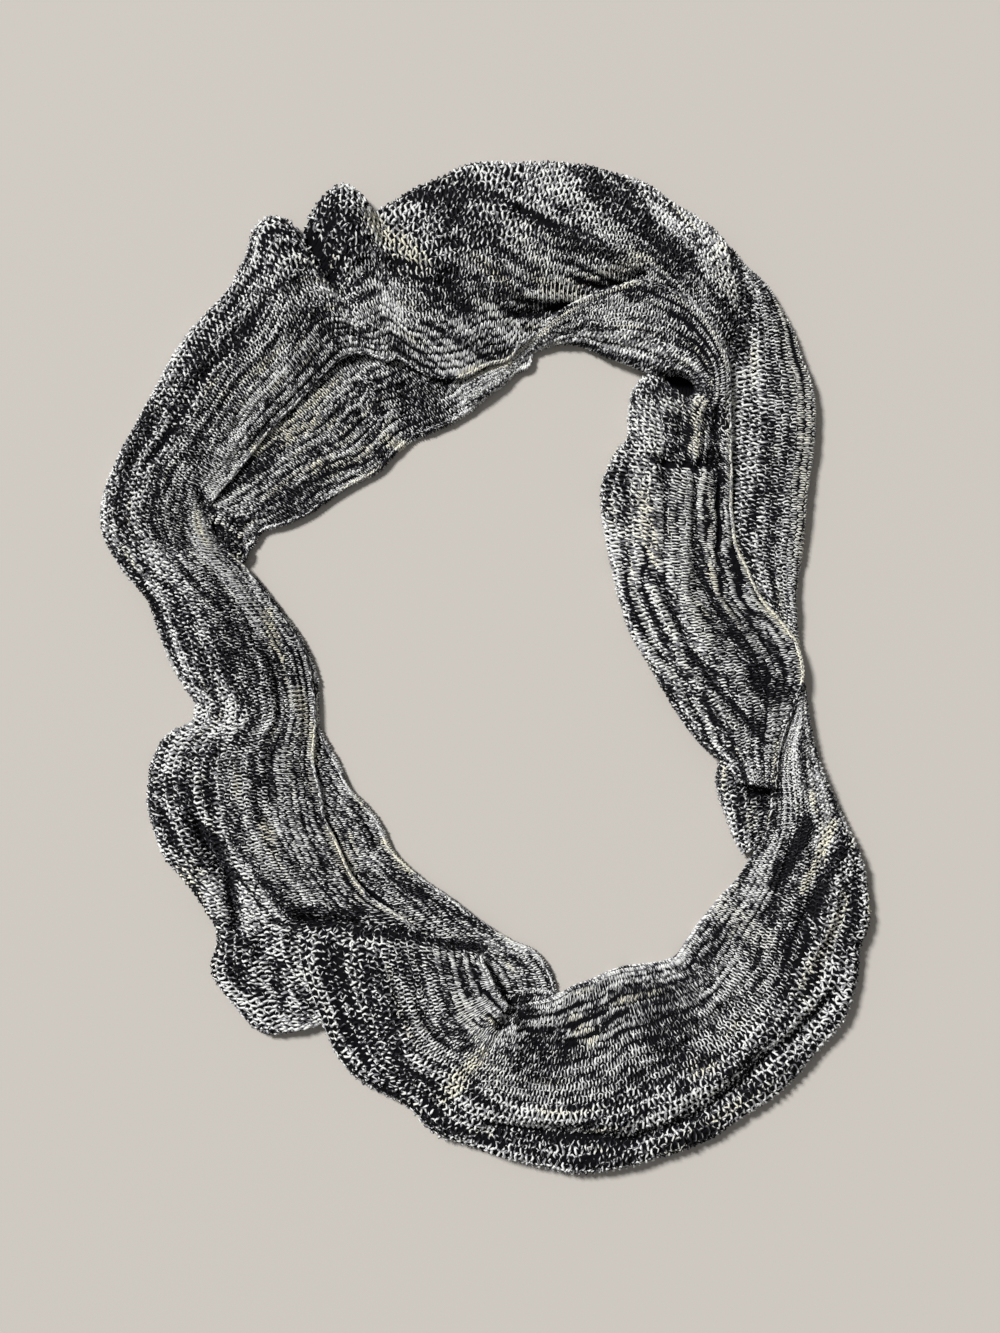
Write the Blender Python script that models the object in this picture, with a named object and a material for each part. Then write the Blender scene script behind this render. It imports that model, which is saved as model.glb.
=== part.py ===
# Infinity scarf: a wide hand-knitted loop, folded lengthwise and laid flat as an irregular ring.
# Each stretch that shows is a wall of cloth carried through sections across the band. Under it
# lie the hidden layers of the same stretch, one rounded solid whose inner lip is the lower edge.
# Units are metres; the tables give millimetres. +Z is up and the scarf rests on z = 0.
import bpy
import numpy as np
from mathutils import Vector
from mathutils.bvhtree import BVHTree

MM = 0.001
CLOTH = 2.6 * MM            # thickness of the knitted wall
SEAM_GAP = 0.3 * MM         # between neighbouring stretches
LAYER_CLEARANCE = 0.9 * MM  # the lower layers stay this far below the upper one
FOLD_REACH = 5.5 * MM       # how far a fold turns under itself
FOLD_STEPS = 5              # flats round a fold
TOP_STEPS = 7               # flats across the upper layer
UNDER_STEPS = 10            # flats across the lower layers
ROUNDING = 3.0 * MM         # outer shoulder of the lower layers
LIP_ROUNDING = 1.5 * MM     # soft lower edge
CELL_SAMPLES = 7            # tests along each side of a cell when the layers settle
CREASE_FADE = 0.18          # part of the width over which a crease dies out at each edge

# A wall section: where it starts and ends on the floor plan, how far its line bows forward,
# the level its fold rests on, and the height of the cloth at its start, middle and end.
WALL_COLUMNS = ("start_x", "start_y", "end_x", "end_y", "bow",
                "rests_at", "start_z", "middle_z", "end_z")
# A section of the lower layers has the same columns without the level it rests on.
UNDER_COLUMNS = ("start_x", "start_y", "end_x", "end_y", "bow",
                 "start_z", "middle_z", "end_z")

LEFT_UPPER = (
    (-282, 99, -192, 87, 0, 0, 12, 15, 11),
    (-269, 75, -176, 72, 0, 0, 12, 15, 9),
    (-251, 53, -161, 52, 0, 0, 12, 15, 8),
    (-241, 28, -144, 29, 0, 0, 12, 16, 8),
    (-233, 6, -133, 10, 0, 0, 12, 16, 8),
    (-223, -13, -129, -7, 0, 0, 11, 16, 8),
    (-214, -28, -127, -23, 0, 0, 10, 16, 8),
    (-220, -42, -126, -38, 0, 0, 11, 17, 8),
    (-235, -50, -126, -52, 0, 0, 12, 18, 8),
    (-245, -66, -127, -68, 0, 0, 13, 19, 9),
    (-250, -89, -122, -90, 0, 0, 13, 20, 10),
    (-248, -112, -118, -112, 0, 0, 13, 20, 10),
    (-239, -137, -109, -130, 0, 0, 12, 18, 10),
    (-222, -157, -100, -151, 0, 0, 12, 17, 10),
    (-208, -176, -84, -170, 0, 0, 12, 15, 10),
    (-198, -197, -61, -185, 0, 0, 11, 12, 9),
    (-203, -225, -44, -198, 0, 0, 11, 11, 8),
    (-187, -248, -33, -212, 0, 0, 10, 11, 8),
    (-159, -271, -26, -235, 0, 0, 9, 10, 8),
    (-124, -263, -24, -243, 0, 0, 8, 8, 8),
)
LEFT_UNDER = (
    (-276, 98, -181, 79, 0, 9, 11, 4),
    (-262, 75, -172, 67, 0, 9, 11, 4),
    (-244, 53, -156, 47, 0, 9, 11, 4),
    (-235, 28, -138, 23, 0, 9, 12, 4),
    (-226, 6, -129, 5, 0, 9, 12, 4),
    (-216, -13, -125, -12, 0, 8, 12, 4),
    (-207, -28, -125, -27, 0, 7, 12, 4),
    (-213, -41, -124, -44, 0, 8, 13, 4),
    (-228, -51, -118, -56, 0, 9, 14, 4),
    (-238, -66, -109, -73, 0, 10, 15, 4),
    (-243, -89, -103, -89, 0, 10, 16, 5),
    (-241, -112, -90, -102, 0, 10, 16, 5),
    (-232, -135, -78, -118, 0, 9, 14, 5),
    (-215, -155, -70, -136, 0, 9, 14, 5),
    (-201, -173, -50, -156, 0, 9, 13, 5),
    (-192, -197, -27, -172, 0, 9, 11, 5),
    (-196, -222, -3, -190, 0, 9, 10, 5),
    (-179, -240, 19, -203, 0, 8, 9, 5),
    (-152, -259, 38, -212, 0, 7, 8, 5),
    (-122, -250, 50, -231, 0, 5, 5, 4),
)
UPPER_LEFT_UPPER = (
    (-282, 99, -192, 87, 0, 0, 12, 15, 11),
    (-284, 115, -201, 98, 0, 0, 12, 15, 11),
    (-280, 135, -205, 113, 0, 0, 12, 15, 10),
    (-271, 157, -199, 128, 0, 0, 12, 15, 9),
    (-258, 181, -185, 144, 0, 0, 12, 16, 9),
    (-244, 207, -171, 162, 0, 0, 12, 16, 9),
    (-229, 235, -158, 178, 0, 0, 12, 17, 9),
    (-209, 261, -144, 192, 0, 0, 12, 17, 9),
    (-187, 286, -131, 205, 0, 0, 12, 18, 10),
    (-176, 309, -116, 220, 0, 0, 12, 19, 10),
    (-170, 326, -104, 230, 0, 0, 13, 20, 11),
    (-161, 333, -97, 232, 0, 0, 14, 20, 12),
    (-147, 331, -90, 232, 0, 0, 13, 19, 12),
    (-136, 323, -84, 232, 0, 0, 10, 17, 12),
)
UPPER_LEFT_UNDER = (
    (-275, 98, -180, 81, 0, 9, 10, 5),
    (-278, 115, -173, 92, 0, 9, 10, 5),
    (-273, 132, -167, 102, 0, 9, 9, 5),
    (-264, 154, -150, 107, 0, 9, 10, 5),
    (-252, 177, -132, 115, 0, 9, 10, 5),
    (-238, 203, -115, 127, 0, 9, 11, 5),
    (-222, 230, -97, 138, 0, 9, 11, 5),
    (-204, 255, -79, 148, 0, 9, 12, 5),
    (-181, 279, -67, 161, 0, 9, 12, 5),
    (-169, 305, -54, 170, 0, 9, 12, 5),
    (-164, 320, -42, 176, 0, 10, 13, 5),
    (-155, 326, -33, 180, 0, 10, 13, 5),
    (-144, 324, -24, 184, 0, 9, 12, 5),
    (-135, 316, -16, 189, 0, 8, 11, 5),
)
TOP_UPPER = (
    (-136, 323, -84, 232, 0, 0, 10, 17, 12),
    (-129, 336, -78, 229, 0, 0, 13, 18, 12),
    (-118, 349, -70, 227, 0, 0, 14, 19, 12),
    (-104, 357, -64, 229, 0, 0, 14, 19, 12),
    (-92, 350, -56, 224, 0, 0, 13, 18, 12),
    (-84, 340, -47, 219, 0, 0, 10, 17, 11),
    (-73, 343, -38, 215, 0, 0, 12, 17, 11),
    (-58, 352, -27, 214, 0, 0, 13, 18, 11),
    (-33, 363, -14, 215, 0, 0, 13, 18, 11),
    (-11, 374, 1, 223, 0, 0, 13, 18, 11),
    (15, 374, 19, 229, 0, 0, 13, 18, 11),
)
TOP_UNDER = (
    (-135, 316, -16, 189, 0, 8, 11, 5),
    (-125, 329, -11, 192, 0, 10, 12, 5),
    (-115, 342, -7, 196, 0, 11, 13, 5),
    (-102, 350, -3, 199, 0, 11, 13, 5),
    (-90, 344, 1, 202, 0, 10, 12, 5),
    (-82, 334, 4, 205, 0, 8, 11, 5),
    (-71, 337, 8, 207, 0, 9, 11, 5),
    (-56, 345, 12, 210, 0, 10, 12, 5),
    (-32, 357, 17, 215, 0, 10, 12, 5),
    (-10, 366, 24, 221, 0, 10, 12, 5),
    (14, 366, 34, 229, 0, 10, 12, 5),
)
TOP_FOLD = (
    (17, 374, 21, 281, 0, 0, 13, 19, 14),
    (35, 374, 33, 276, 0, 0, 13, 20, 16),
    (56, 374, 53, 273, 0, 0, 13, 20, 17),
    (78, 371, 73, 275, 0, 0, 13, 20, 15),
    (100, 365, 90, 283, 0, 0, 13, 20, 12),
    (121, 357, 111, 288, 0, 0, 13, 20, 11),
    (138, 345, 132, 282, 0, 0, 13, 20, 12),
    (153, 336, 150, 273, 0, 0, 13, 20, 15),
    (165, 328, 167, 258, 2, 0, 12, 20, 18),
    (172, 320, 181, 240, 7, 0, 13, 16, 16),
)
TOP_FOLD_UNDER = (
    (19, 366, 34, 239, 0, 9, 13, 5),
    (36, 367, 49, 249, 0, 9, 14, 5),
    (56, 366, 72, 251, 0, 9, 15, 6),
    (77, 363, 87, 243, 0, 9, 15, 6),
    (98, 357, 104, 235, 0, 9, 15, 7),
    (117, 349, 119, 229, 0, 9, 15, 8),
    (135, 338, 135, 226, 0, 9, 15, 9),
    (147, 330, 147, 226, 0, 9, 15, 10),
)
CURL_STRIP = (
    (41, 238, 46, 234, 0, 0, 7, 7, 7),
    (47, 254, 56, 240, 0, 0, 11, 9, 7),
    (60, 264, 65, 242, 0, 0, 14, 11, 7),
    (73, 271, 75, 240, 0, 0, 15, 13, 8),
    (92, 277, 89, 234, 0, 0, 16, 15, 9),
    (115, 283, 107, 226, 0, 0, 17, 17, 11),
    (132, 278, 121, 221, 0, 0, 17, 19, 13),
    (149, 269, 132, 218, 0, 0, 18, 21, 16),
    (162, 256, 144, 218, 1, 0, 18, 22, 18),
    (171, 240, 152, 215, 2, 0, 18, 22, 19),
    (177, 223, 157, 209, 1, 0, 18, 22, 19),
    (178, 204, 154, 199, 0, 0, 18, 21, 18),
)
RIGHT_OUTER = (
    (176, 311, 183, 310, 0, 0, 9, 9, 9),
    (177, 298, 194, 297, 0, 0, 11, 11, 11),
    (181, 283, 209, 283, 0, 0, 12.8, 12, 12),
    (184, 267, 219, 267, 0, 0, 12.8, 12, 12),
    (183, 250, 227, 252, 0, 0, 12.8, 12, 12),
    (178, 232, 234, 233, 0, 0, 11, 11, 12),
    (174, 209, 243, 209, 0, 0, 8, 10, 12),
    (172, 184, 245, 184, 0, 0, 5, 9, 12),
    (172, 158, 243, 156, 0, 0, 5, 9, 12),
    (172, 132, 239, 130, 0, 0, 5, 9, 12),
    (173, 108, 237, 104, 0, 0, 5, 9, 12),
    (177, 87, 234, 80, 0, 0, 5, 9, 11),
    (186, 65, 231, 56, 0, 0, 5, 8, 11),
    (198, 46, 231, 34, 0, 0, 5, 7, 10),
    (212, 30, 233, 15, 0, 0, 4, 6, 8),
    (225, 13, 235, 0, 0, 0, 4, 5, 7),
)
RIGHT_INNER = (
    (121, 212, 152, 195, -1, 0, 15, 16, 14),
    (110, 199, 179, 188, 0, 0, 15, 17, 13),
    (107, 178, 181, 169, 0, 0, 14, 17, 12),
    (95, 159, 182, 152, 0, 0, 13, 17, 11),
    (87, 138, 182, 132, 0, 0, 13, 17, 10),
    (87, 115, 182, 110, 0, 0, 13, 17, 10),
    (90, 95, 185, 90, 0, 0, 13, 17, 10),
    (95, 74, 194, 73, 0, 0, 13, 17, 10),
    (101, 49, 205, 50, 0, 0, 13, 17, 10),
    (109, 24, 218, 36, 0, 0, 13, 17, 11),
    (124, 0, 231, 17, 0, 0, 13, 18, 12),
    (135, -19, 235, -5, 0, 0, 13, 18, 13),
    (147, -38, 229, -26, 0, 0, 13, 19, 14),
    (159, -54, 221, -44, 0, 0, 13, 20, 15),
    (169, -64, 216, -59, 0, 4, 14, 20, 16),
    (179, -73, 214, -74, 0, 12, 19, 20, 18),
    (187, -84, 213, -89, 0, 12, 19, 19, 18),
)
RIGHT_UNDER = (
    (132, 207, 152, 198, 0, 4, 4, 4),
    (117, 194, 164, 184, 0, 10, 11, 5),
    (114, 176, 166, 169, 0, 10, 11, 5),
    (103, 157, 167, 152, 0, 10, 12, 5),
    (95, 137, 167, 132, 0, 10, 12, 5),
    (94, 115, 168, 110, 0, 10, 12, 5),
    (98, 95, 172, 90, 0, 10, 12, 5),
    (103, 75, 181, 72, 0, 10, 12, 5),
    (108, 51, 192, 50, 0, 10, 12, 5),
    (116, 27, 206, 34, 0, 10, 12, 5),
    (130, 4, 219, 14, 0, 10, 12, 6),
    (142, -15, 226, -7, 0, 10, 12, 8),
    (153, -33, 221, -25, 0, 10, 12, 8),
    (165, -48, 213, -42, 0, 10, 12, 9),
    (174, -56, 208, -53, 0, 9, 11, 9),
)
TWIST_LOBE = (
    (175, -71, 209, -65, 0, 0, 9, 10, 9),
    (172, -84, 211, -77, 0, 0, 10, 10, 9),
    (175, -98, 211, -92, 0, 0, 11, 11, 9),
    (180, -111, 210, -104, 0, 0, 11, 11, 9),
    (185, -126, 207, -115, 0, 0, 11, 11, 9),
    (192, -138, 201, -129, 0, 0, 10, 10, 8),
)
BOTTOM_RIGHT_UPPER = (
    (236, -12, 233, -18, 0, 0, 9, 10, 9),
    (238, -30, 226, -43, 0, 0, 11, 12, 11),
    (243, -55, 218, -66, 0, 0, 12, 14, 12),
    (251, -80, 218, -92, 0, 0, 13, 17, 13),
    (263, -110, 214, -120, 0, 0, 13, 18, 12),
    (276, -135, 199, -142, 0, 0, 13, 18, 10),
    (283, -161, 186, -158, 0, 0, 13, 18, 9),
    (284, -188, 175, -169, 0, 0, 13, 18, 9),
    (278, -209, 166, -180, 0, 0, 12, 18, 9),
    (275, -234, 157, -191, 0, 0, 13, 18, 9),
    (265, -260, 150, -201, 0, 0, 13, 18, 9),
)
BOTTOM_UPPER = (
    (265, -260, 150, -201, 0, 0, 13, 18, 9),
    (244, -285, 142, -214, 0, 0, 13, 19, 9),
    (218, -314, 131, -218, 0, 0, 13, 19, 9),
    (189, -334, 117, -221, 0, 0, 13, 19, 9),
    (160, -352, 103, -222, 0, 0, 13, 19, 9),
    (130, -362, 90, -226, 0, 0, 13, 19, 9),
    (100, -371, 78, -232, 0, 0, 13, 19, 9),
    (70, -374, 65, -236, 0, 0, 13, 19, 9),
    (41, -369, 53, -243, 0, 0, 13, 19, 10),
)
BOTTOM_LEFT_UPPER = (
    (41, -369, 53, -243, 0, 0, 13, 19, 10),
    (15, -363, 35, -248, 0, 0, 13, 19, 11),
    (-11, -354, 21, -249, 0, 0, 13, 20, 13),
    (-36, -345, 13, -240, 0, 0, 13, 20, 15),
    (-54, -325, 1, -222, 0, 0, 13, 21, 16),
    (-72, -317, -16, -214, 0, 0, 13, 21, 16),
    (-90, -306, -36, -209, 0, 0, 13, 21, 17),
    (-104, -296, -59, -203, 0, 0, 13, 21, 17),
    (-113, -280, -85, -195, 0, 5, 14, 21, 18),
    (-121, -262, -111, -188, 0, 12, 19, 21, 18),
    (-132, -237, -135, -190, 3, 12, 19, 20, 18),
)
BOTTOM_RIGHT_UNDER = (
    (243, -77, 223, -87, 0, 9, 11, 7),
    (257, -112, 215, -124, 0, 9, 13, 6),
    (269, -137, 201, -145, 0, 9, 14, 5),
    (277, -161, 189, -161, 0, 9, 14, 5),
    (278, -185, 178, -171, 0, 9, 14, 5),
    (271, -206, 169, -182, 0, 9, 14, 5),
    (268, -230, 160, -193, 0, 9, 14, 5),
    (259, -255, 153, -204, 0, 9, 14, 5),
)
BOTTOM_UNDER = (
    (259, -255, 153, -204, 0, 9, 14, 5),
    (240, -279, 144, -216, 0, 9, 15, 5),
    (215, -306, 132, -221, 0, 9, 15, 5),
    (186, -327, 118, -223, 0, 9, 15, 5),
    (158, -344, 104, -225, 0, 9, 15, 5),
    (128, -354, 92, -229, 0, 9, 15, 5),
    (99, -364, 79, -235, 0, 9, 15, 5),
    (70, -366, 67, -239, 0, 9, 15, 5),
    (42, -361, 55, -245, 0, 9, 15, 5),
)
BOTTOM_LEFT_UNDER = (
    (42, -361, 55, -245, 0, 9, 15, 5),
    (17, -356, 41, -240, 0, 9, 15, 6),
    (-8, -347, 15, -243, 0, 9, 15, 7),
    (-32, -337, -11, -247, 0, 9, 15, 8),
    (-51, -318, -41, -252, 0, 9, 14, 8),
    (-70, -309, -67, -255, 0, 9, 13, 8),
    (-88, -297, -91, -260, 0, 8, 11, 8),
)
# Large soft folds: the ends of each line, its half width and its height (a trough is negative).
CREASES = (
    # from_x, from_y, to_x, to_y, half_width, height
    (-136, 322, -92, 272, 11, -4.0),
    (-84, 340, -50, 282, 10, -3.5),
    (-106, 352, -70, 296, 10, 3.0),
    (-152, 330, -112, 280, 11, 2.5),
    (-206, -116, -186, -160, 11, -3.5),
    (-22, 232, 62, 226, 15, -2.5),
    (128, 148, 174, 150, 9, -3.0),
    (14, -346, 150, -330, 12, -3.0),
    (20, -256, -10, -300, 12, -2.5),
    (262, -96, 236, -140, 12, -2.0),
)

YARN_GREY = (0.20, 0.20, 0.21, 1.0)
YARN_DARK = (0.07, 0.07, 0.09, 1.0)
YARN_PALE = (0.42, 0.41, 0.38, 1.0)


def clear_scene():
    for item in list(bpy.data.objects):
        bpy.data.objects.remove(item, do_unlink=True)


def read_table(rows, columns):
    """One array in metres for each named column."""
    values = np.array(rows, dtype=float) * MM
    return {name: values[:, i] for i, name in enumerate(columns)}


def crease_height(x, y):
    """Sum of the soft folds at plan points; each falls off as a bell away from its line."""
    total = np.zeros_like(x)
    for row in CREASES:
        x0, y0, x1, y1, half_width, height = (value * MM for value in row)
        dx = x1 - x0
        dy = y1 - y0
        along = np.clip(((x - x0) * dx + (y - y0) * dy) / (dx * dx + dy * dy), 0.0, 1.0)
        away = np.hypot(x - x0 - along * dx, y - y0 - along * dy)
        total += height * np.exp(-(away / half_width) ** 2)
    return total


def open_seams(table):
    """Draw the first and last section in by half a seam, so that neighbours don't touch."""
    for end in ("start", "end"):
        for this, following in ((0, 1), (-1, -2)):
            dx = table[end + "_x"][following] - table[end + "_x"][this]
            dy = table[end + "_y"][following] - table[end + "_y"][this]
            step = SEAM_GAP / np.hypot(dx, dy)
            table[end + "_x"][this] += step * dx
            table[end + "_y"][this] += step * dy


def plan_points(table, across):
    """Plan x and y at the fractions across each section, bowed as a parabola."""
    run_x = table["end_x"] - table["start_x"]
    run_y = table["end_y"] - table["start_y"]
    width = np.hypot(run_x, run_y)
    bow = 4.0 * across * (1.0 - across) * (table["bow"] / width)[:, None]
    x = table["start_x"][:, None] + across * run_x[:, None] - bow * run_y[:, None]
    y = table["start_y"][:, None] + across * run_y[:, None] + bow * run_x[:, None]
    return x, y


def top_height(table, across):
    """Height across the band: a straight slope from start to end with a parabola on it."""
    start = table["start_z"][:, None]
    end = table["end_z"][:, None]
    middle = table["middle_z"][:, None]
    return start + across * (end - start) + (middle - (start + end) / 2) * 4 * across * (1 - across)


def wall_profile(table, fold_at, inset):
    """Fractions across and heights of one skin of the wall, this far inside its outer skin.

    A fold is half an ellipse from the level it rests on up to the top of the cloth.
    """
    width = np.hypot(table["end_x"] - table["start_x"], table["end_y"] - table["start_y"])
    turn = np.radians(np.linspace(-90.0, 90.0, FOLD_STEPS + 1))
    reach = (FOLD_REACH / width)[:, None]
    inner_reach = ((FOLD_REACH - inset) / width)[:, None]
    first = reach if "start" in fold_at else np.zeros_like(reach)
    last = 1.0 - reach if "end" in fold_at else np.ones_like(reach)
    across = first + (last - first) * np.linspace(0.0, 1.0, TOP_STEPS + 1)
    x, y = plan_points(table, across)
    span = (across - first) / (last - first)
    height = top_height(table, span)
    height = height + crease_height(x, y) * np.clip(span * (1 - span) / CREASE_FADE, 0.0, 1.0)
    rows = [(across, height - inset)]
    for place, side in (("start", 0), ("end", -1)):
        if place not in fold_at:
            continue
        half = ((height[:, side] - table["rests_at"]) / 2)[:, None]
        sweep = reach - inner_reach * np.cos(turn)
        rise = table["rests_at"][:, None] + half + (half - inset) * np.sin(turn)
        if place == "start":
            rows.insert(0, (sweep[:, :-1], rise[:, :-1]))
        else:
            rows.append((1.0 - sweep[:, -2::-1], rise[:, -2::-1]))
    return np.hstack([row[0] for row in rows]), np.hstack([row[1] for row in rows])


def wall_rings(rows, fold_at):
    """Closed section rings of a wall: the outer skin across, then the inner skin back."""
    table = read_table(rows, WALL_COLUMNS)
    open_seams(table)
    skins = []
    for inset in (0.0, CLOTH):
        across, height = wall_profile(table, fold_at, inset)
        x, y = plan_points(table, across)
        skins.append(np.stack([x, y, height], axis=2))
    return np.concatenate([skins[0], skins[1][:, ::-1]], axis=1)


def settle_below(ceiling, x, y, height):
    """Lower the corners of each cell, nearest most, until the cell clears the cloth above."""
    upwards = Vector((0.0, 0.0, 1.0))
    parts = np.linspace(0.0, 1.0, CELL_SAMPLES)
    for i, j in np.ndindex(height.shape[0] - 1, height.shape[1] - 1):
        corner = (slice(i, i + 2), slice(j, j + 2))
        for a, b in np.ndindex(CELL_SAMPLES, CELL_SAMPLES):
            weight = np.outer((1 - parts[a], parts[a]), (1 - parts[b], parts[b]))
            plan = Vector(((weight * x[corner]).sum(), (weight * y[corner]).sum(), -MM))
            hit = ceiling.ray_cast(plan, upwards)[0]
            if hit is None:
                continue
            excess = (weight * height[corner]).sum() - hit.z + LAYER_CLEARANCE
            if excess > 0.0:
                height[corner] -= excess * weight / (weight ** 2).sum()


def under_rings(rows, ceiling):
    """Closed section rings of the lower layers: flat below, kept clear of the cloth above."""
    table = read_table(rows, UNDER_COLUMNS)
    open_seams(table)
    width = np.hypot(table["end_x"] - table["start_x"], table["end_y"] - table["start_y"])[:, None]
    inner = np.linspace(0.0, 1.0, UNDER_STEPS + 1)[None, :]
    shoulder = ROUNDING / width
    soft = LIP_ROUNDING / width
    across = shoulder + (1.0 - soft - shoulder) * inner
    height = top_height(table, across)
    x, y = plan_points(table, across)
    settle_below(ceiling, x, y, height)
    none = np.zeros_like(width)
    one = np.ones_like(width)
    across = np.hstack([none, none, across, one, 1.0 - soft / 2])
    height = np.hstack([none, 0.6 * height[:, :1], height, 0.5 * height[:, -1:], none])
    x, y = plan_points(table, across)
    return np.stack([x, y, height], axis=2)


def loft(name, rings, colour):
    """Skin the rings into one closed body with its faces pointing out."""
    count, around = rings.shape[:2]
    ring = np.arange(around)
    faces = []
    for i in range(count - 1):
        here = i * around
        for j in ring:
            k = (j + 1) % around
            faces.append((here + j, here + k, here + around + k, here + around + j))
    faces.append(tuple(reversed(ring)))
    faces.append(tuple(ring + (count - 1) * around))
    mesh = bpy.data.meshes.new(name)
    mesh.from_pydata(rings.reshape(-1, 3).tolist(), [], [tuple(map(int, face)) for face in faces])
    mesh.update()
    body = bpy.data.objects.new(name, mesh)
    bpy.context.collection.objects.link(body)
    face_outwards(mesh)
    mesh.shade_smooth()
    mesh.set_sharp_from_angle(angle=np.radians(50.0))
    mesh.materials.append(yarn_material(name, colour))
    return body


def face_outwards(mesh):
    """Turn the faces over if the body's signed volume is negative."""
    mesh.calc_loop_triangles()
    points = np.array([vertex.co[:] for vertex in mesh.vertices])
    corners = points[np.array([tri.vertices[:] for tri in mesh.loop_triangles])]
    volume = np.einsum("ij,ij->i", corners[:, 0], np.cross(corners[:, 1], corners[:, 2])).sum()
    if volume < 0:
        mesh.flip_normals()


def yarn_material(name, colour):
    material = bpy.data.materials.new(name + "_yarn")
    material.use_nodes = True
    shader = material.node_tree.nodes["Principled BSDF"]
    shader.inputs["Base Color"].default_value = colour
    shader.inputs["Roughness"].default_value = 0.92
    shader.inputs["Metallic"].default_value = 0.0
    return material


def build_ceiling(walls):
    """The upper layers' skins, which the lower layers are measured up to."""
    points = []
    faces = []
    for rings in walls:
        count, around = rings.shape[:2]
        first = len(points)
        points.extend(Vector(point) for point in rings.reshape(-1, 3))
        for i in range(count - 1):
            for j in range(around):
                k = (j + 1) % around
                here = first + i * around
                faces.append((here + j, here + k, here + around + k, here + around + j))
    return BVHTree.FromPolygons(points, faces)


# The stretches of the band in order round the ring, clockwise from the left arm.
WALLS = (
    # name, sections, where it folds under, colour
    ("left_upper", LEFT_UPPER, ("start",), YARN_GREY),
    ("upper_left_upper", UPPER_LEFT_UPPER, ("start",), YARN_PALE),
    ("top_upper", TOP_UPPER, ("start",), YARN_GREY),
    ("top_fold", TOP_FOLD, ("start",), YARN_DARK),
    ("curl_strip", CURL_STRIP, ("end",), YARN_PALE),
    ("right_outer", RIGHT_OUTER, ("end",), YARN_DARK),
    ("right_inner", RIGHT_INNER, ("start",), YARN_GREY),
    ("twist_lobe", TWIST_LOBE, ("start",), YARN_DARK),
    ("bottom_right_upper", BOTTOM_RIGHT_UPPER, ("start",), YARN_PALE),
    ("bottom_upper", BOTTOM_UPPER, ("start",), YARN_GREY),
    ("bottom_left_upper", BOTTOM_LEFT_UPPER, ("start",), YARN_DARK),
)
UNDERS = (
    # name, sections, colour
    ("left_under", LEFT_UNDER, YARN_DARK),
    ("upper_left_under", UPPER_LEFT_UNDER, YARN_GREY),
    ("top_under", TOP_UNDER, YARN_DARK),
    ("top_fold_under", TOP_FOLD_UNDER, YARN_GREY),
    ("right_under", RIGHT_UNDER, YARN_DARK),
    ("bottom_right_under", BOTTOM_RIGHT_UNDER, YARN_DARK),
    ("bottom_under", BOTTOM_UNDER, YARN_PALE),
    ("bottom_left_under", BOTTOM_LEFT_UNDER, YARN_GREY),
)


def build():
    clear_scene()
    walls = []
    for name, rows, fold_at, colour in WALLS:
        rings = wall_rings(rows, fold_at)
        loft(name, rings, colour)
        walls.append(rings)
    ceiling = build_ceiling(walls)
    for name, rows, colour in UNDERS:
        loft(name, under_rings(rows, ceiling), colour)


build()
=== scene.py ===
import bpy
import numpy as np
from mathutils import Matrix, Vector


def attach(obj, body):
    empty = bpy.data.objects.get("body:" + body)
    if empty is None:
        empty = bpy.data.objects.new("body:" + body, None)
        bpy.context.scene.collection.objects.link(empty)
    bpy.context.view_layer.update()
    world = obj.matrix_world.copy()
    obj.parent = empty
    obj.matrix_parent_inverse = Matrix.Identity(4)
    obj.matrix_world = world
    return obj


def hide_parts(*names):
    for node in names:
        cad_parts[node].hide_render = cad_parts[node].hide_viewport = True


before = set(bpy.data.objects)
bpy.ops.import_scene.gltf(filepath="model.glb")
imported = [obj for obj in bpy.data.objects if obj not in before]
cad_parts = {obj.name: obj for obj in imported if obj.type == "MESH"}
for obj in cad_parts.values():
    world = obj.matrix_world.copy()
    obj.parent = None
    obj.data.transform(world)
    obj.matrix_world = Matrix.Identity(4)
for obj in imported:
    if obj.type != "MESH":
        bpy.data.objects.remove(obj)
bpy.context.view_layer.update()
mm = 0.001

# A row is one section across the band, in millimetres: where its outer fold and its free edge
# lie on the floor plan, how far its line bows, the level its fold rests on, and the height of
# the cloth at the fold, in the middle and at the edge. A row of the lower layers ends with how
# far they show past the cloth above. Spans name the stretches with their first and last rows.
sectionColumns = (
    "startX", "startY", "endX", "endY", "bow", "rests", "startZ", "middleZ", "endZ", "shows"
)

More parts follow.
